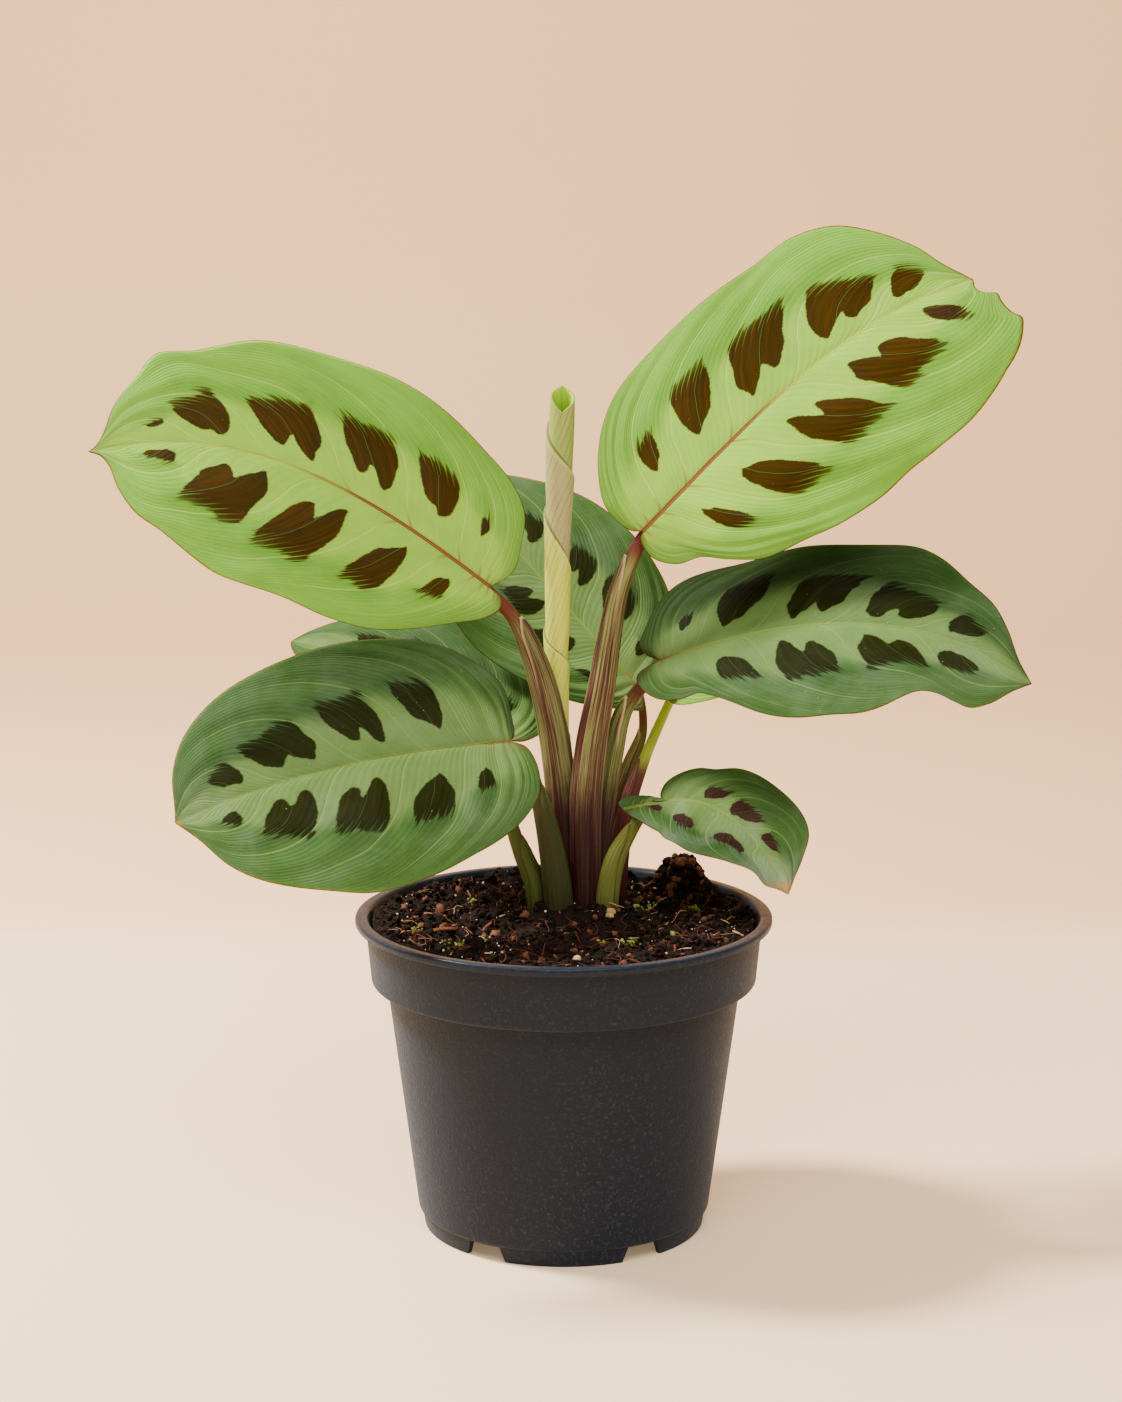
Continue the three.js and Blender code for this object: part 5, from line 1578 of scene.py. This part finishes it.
def build_litter(sizes):
    heap = Scatter(23)
    random = heap.random
    rough = sizes.rough / MM
    for place in soil_spots(random, sizes.flakes, rough, 0.35, 4.5):
        long = random.uniform(1.4, 4.6)
        index = int(random.choice([0, 0, 0, 1, 1, 1, 1, 2]))
        heap.flake(place, long, random.uniform(0.35, 1.2), random.uniform(0.2, 0.4), index, 0.4)
    for place in soil_spots(random, sizes.grit, rough, 0.5, 4.5):
        heap.crumb(place, random.uniform(0.16, 0.36) + (random.uniform() < 0.12) * 0.3, 3, 0.4)
    for start in soil_spots(random, sizes.fibres, rough, 0.7, 5.5):
        angle = random.uniform(0, 2 * math.pi)
        points = [start]
        for _ in range(3):
            angle += random.normal(0, 0.7)
            step = random.uniform(1.5, 4.0)
            x, y = points[-1][0] + step * math.cos(angle), points[-1][1] + step * math.sin(angle)
            if math.hypot(x, y) < FIBRE_REACH:
                points.append(on_soil(x, y, rough, random.uniform(0.4, 1.6)))
        if len(points) > 2:
            heap.fibre(points, random.uniform(0.06, 0.15), int(random.choice([0, 1, 1, 1, 1, 4])))
    for x, y, size in CHIPS:
        heap.crumb(on_soil(x, y, rough, 0.8 * size), size, 2, 0.8)
    for x, y, size in BARK:
        heap.flake(on_soil(x, y, rough, 0.8), size, size * 0.42, 0.9, 1, 0.25)
    for x, y, size, lie in MOSS:
        way = np.array([math.cos(math.radians(lie)), math.sin(math.radians(lie))])
        for _ in range(int(17 * size)):
            along, beside = random.normal(0, size * 0.42), random.normal(0, 0.18 * size)
            spot = np.array([x, y]) + along * way + beside * np.array([-way[1], way[0]])
            place = on_soil(*spot, rough, random.uniform(0.5, 1.3))
            heap.crumb(place, random.uniform(0.28, 0.62), int(random.choice([5, 5, 6])), 0.2)
    return heap.piece("soil_litter", [
        plain_material("bark_dark", colour(48, 26, 15), colour(84, 46, 26), 0.85, 500.0),
        plain_material("bark_red", sizes.bark, colour(84, 40, 20), 0.8, 500.0),
        plain_material("pale_chip", sizes.wood, colour(168, 122, 78), 0.75, 400.0),
        plain_material("sand_grain", sizes.sand, colour(190, 170, 140), 0.6, 600.0),
        plain_material("fine_root", colour(150, 112, 78), colour(196, 160, 120), 0.7, 300.0),
        plain_material("moss", sizes.moss, colour(150, 170, 66), 0.8, 500.0),
        plain_material("moss_dark", colour(70, 92, 24), colour(104, 128, 40), 0.8, 500.0),
    ])


# ---------------------------------------------------------------- stage

# the backdrop, in metres from the pot: it ends in front, rises behind in a cove, and spreads to each side
FLOOR_FRONT = -2.4
FLOOR_BACK = 1.3
FLOOR_COVE = 0.3
FLOOR_SIDE = 2.4
WALL_TOP = 2.2
WALL_FROM = 0.27  # from here back the floor takes the wall's colour
WALL_FULL = WALL_FROM + 0.11
LIGHT_AIM = (0, 0, 0.1)
CAMERA_PLACE = (-0.0008, -0.866, 0.3188)  # matched to the viewing angle of the reference view
CAMERA_TILT = 79.23
CAMERA_LENS = 79.65


def add_light(name, place, size, watts, tint):
    """A round soft light aimed at the pot's lip."""
    lamp = bpy.data.lights.new(name, "AREA")
    lamp.shape = "DISK"
    lamp.size = size
    lamp.energy = watts
    lamp.color = tint
    lamp_object = bpy.data.objects.new(name, lamp)
    lamp_object.location = place
    aim = Vector(LIGHT_AIM) - Vector(place)
    lamp_object.rotation_euler = aim.to_track_quat("-Z", "Y").to_euler()
    bpy.context.scene.collection.objects.link(lamp_object)


def build_stage(sizes):
    rows = [(FLOOR_FRONT, 0.0), (FLOOR_BACK - FLOOR_COVE, 0.0)]
    for turn in np.linspace(0, math.pi / 2, 9)[1:]:
        rows.append((FLOOR_BACK - FLOOR_COVE * (1 - math.sin(turn)), FLOOR_COVE * (1 - math.cos(turn))))
    rows.append((FLOOR_BACK, WALL_TOP))
    points = [(x / MM, y / MM, z / MM) for y, z in rows for x in (-FLOOR_SIDE, FLOOR_SIDE)]
    faces = [(2 * k, 2 * k + 1, 2 * k + 3, 2 * k + 2) for k in range(len(rows) - 1)]
    material, g, shader = new_material("backdrop")
    behind = g.step(g.split(g.place())[1], WALL_FROM, WALL_FULL)
    g.fill(shader, {
        "Base Color": g.mix(behind, sizes.backdrop, sizes.wall), "Roughness": 0.75,
        "Emission Color": g.mix(behind, sizes.backdrop, dim(sizes.wall, 0.7)),
        "Emission Strength": sizes.glow,
    })
    floor = new_object("backdrop", points, faces, [material])

    add_light("key_light", (-0.72, 0.16, 1.0), 0.25, sizes.key, (1.0, 0.965, 0.9))
    add_light("fill_light", (0.1, -0.8, 1.15), 0.9, sizes.fill, (1.0, 0.98, 0.95))
    world = bpy.data.worlds.new("soft_room")
    world.use_nodes = True
    sky = world.node_tree.nodes["Background"]
    sky.inputs["Color"].default_value = (1.0, 0.985, 0.965, 1)
    sky.inputs["Strength"].default_value = sizes.sky
    bpy.context.scene.world = world

    lens = bpy.data.cameras.new("camera")
    lens.sensor_width = 36
    lens.lens = CAMERA_LENS
    lens.clip_start = 0.05
    camera = bpy.data.objects.new("camera", lens)
    camera.location = CAMERA_PLACE
    camera.rotation_euler = (math.radians(CAMERA_TILT), 0, 0)
    bpy.context.scene.collection.objects.link(camera)
    bpy.context.scene.camera = camera


# ---------------------------------------------------------------- operators

class PRAYER_PLANT_OT_pot(bpy.types.Operator):
    """Build the moulded nursery pot"""
    bl_idname = "prayer_plant.pot"
    bl_label = "Pot"

    def execute(self, context):
        dress(build_pot(settings("pot")), "pot_plastic", "pot")
        return {"FINISHED"}


class PRAYER_PLANT_OT_soil(bpy.types.Operator):
    """Build the soil with its loose crumbs, bark, grit, fibres and moss"""
    bl_idname = "prayer_plant.soil"
    bl_label = "Soil"

    def execute(self, context):
        sizes = settings("soil")
        dress(build_soil(sizes), "peat_soil", "soil")
        dress(build_crumbs(sizes), "peat_soil")
        dress(build_litter(sizes), "peat_soil")
        skin = plain_material("rootstock_skin", sizes.root, colour(120, 84, 54), 0.8, 160.0, 0.6)
        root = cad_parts["rootstock"]
        root.data.materials.clear()
        root.data.materials.append(skin)
        return {"FINISHED"}


class PRAYER_PLANT_OT_leaves(bpy.types.Operator):
    """Build the eight open blades with their veins and blotches"""
    bl_idname = "prayer_plant.leaves"
    bl_label = "Leaves"

    def execute(self, context):
        for seed, (name, leaf) in enumerate(LEAVES.items()):
            slot = "bright_leaf" if leaf["look"] == "bright" else "deep_leaf"
            dress(build_blade(name, leaf, settings("leaf"), seed), slot, "blade_" + name)
        return {"FINISHED"}


# slot, then the colours of each stalk: dark stripe, light stripe, foot and the bare stretch on top
STALK_LOOKS = {
    "upper_left": ("maroon_stalk", (66, 30, 28), (114, 120, 66), (42, 1, 13), (96, 46, 28)),
    "upper_right": ("maroon_stalk", (72, 30, 32), (132, 136, 74), (44, 0, 15), (98, 42, 34)),
    "middle_right": ("maroon_stalk", (60, 58, 28), (112, 126, 62), (44, 8, 18), (84, 38, 24)),
    "lower_left": ("olive_stalk", (50, 60, 24), (98, 114, 50), (54, 56, 26), (92, 96, 30)),
    "small_lower_right": ("olive_stalk", (66, 84, 20), (136, 146, 76), (98, 104, 42), (80, 100, 26)),
    "back_centre": ("olive_stalk", (80, 66, 26), (136, 134, 62), (78, 34, 24), (84, 46, 16)),
    "back_left": ("olive_stalk", (62, 74, 26), (128, 138, 70), (84, 96, 36), (88, 100, 30)),
    "back_right": ("lime_stalk", (74, 32, 24), (112, 68, 36), (70, 22, 22), (172, 196, 62)),
}


class PRAYER_PLANT_OT_stalks(bpy.types.Operator):
    """Build the sheathed stalks of the open blades"""
    bl_idname = "prayer_plant.stalks"
    bl_label = "Stalks"

    def execute(self, context):
        sizes = settings("stalk")
        for seed, (name, leaf) in enumerate(LEAVES.items()):
            slot, *tints = STALK_LOOKS[name]
            tints = [colour(*tint) for tint in tints]
            material = stalk_material("stalk_" + name, leaf["sheath"][0], *tints, sizes.dry_edge)
            piece = build_stalk("petiole_" + name, full_stalk(leaf), leaf["sheath"], sizes, material, seed)
            dress(piece, slot, "stalk_" + name)
        return {"FINISHED"}


class PRAYER_PLANT_OT_rolled(bpy.types.Operator):
    """Build the young leaf that is still rolled, on its stalk"""
    bl_idname = "prayer_plant.rolled"
    bl_label = "Rolled leaf"

    def execute(self, context):
        sizes = settings("rolled")
        dress(build_rolled_blade(sizes), "rolled_leaf", "blade_rolled")
        x, y, _, half = ROLLED_STALK[0]
        points = [(x, y, ROOT_TOP + GAP, half * STALK_TAPER), *ROLLED_STALK, ROLLED_BLADE[0]]
        colours = (sizes.line, sizes.lime, settings("stalk").crown, sizes.lime, sizes.mauve)
        material = stalk_material("stalk_rolled", 112, *colours)
        piece = build_stalk("petiole_rolled", points, (112, 1, 8), settings("stalk"), material, 9)
        dress(piece, "lime_stalk", "stalk_rolled")
        return {"FINISHED"}


class PRAYER_PLANT_OT_stage(bpy.types.Operator):
    """Set up the backdrop, the lights and the camera"""
    bl_idname = "prayer_plant.stage"
    bl_label = "Stage"

    def execute(self, context):
        build_stage(settings("stage"))
        return {"FINISHED"}


OPERATORS = [
    PRAYER_PLANT_OT_pot, PRAYER_PLANT_OT_soil, PRAYER_PLANT_OT_stalks, PRAYER_PLANT_OT_leaves,
    PRAYER_PLANT_OT_rolled, PRAYER_PLANT_OT_stage,
]


class PRAYER_PLANT_PT_panel(bpy.types.Panel):
    """Sizes, colours and build steps of the plant"""
    bl_label = "Prayer Plant"
    bl_idname = "PRAYER_PLANT_PT_panel"
    bl_space_type = "VIEW_3D"
    bl_region_type = "UI"
    bl_category = "Prayer Plant"

    def draw(self, context):
        for name, group in GROUPS.items():
            box = self.layout.box()
            box.label(text=name.capitalize())
            for field in group.__annotations__:
                box.prop(settings(name), field)
        for operator in OPERATORS:
            self.layout.operator(operator.bl_idname)


CLASSES = [*GROUPS.values(), *OPERATORS, PRAYER_PLANT_PT_panel]


def register():
    for item in CLASSES:
        bpy.utils.register_class(item)
    for name, group in GROUPS.items():
        setattr(bpy.types.Scene, "prayer_plant_" + name, PointerProperty(type=group))


def unregister():
    for name in GROUPS:
        delattr(bpy.types.Scene, "prayer_plant_" + name)
    for item in reversed(CLASSES):
        bpy.utils.unregister_class(item)


def main():
    register()
    bpy.ops.prayer_plant.pot()
    bpy.ops.prayer_plant.soil()
    bpy.ops.prayer_plant.stalks()
    bpy.ops.prayer_plant.leaves()
    bpy.ops.prayer_plant.rolled()
    bpy.ops.prayer_plant.stage()
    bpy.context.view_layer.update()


if __name__ == "__main__":
    main()
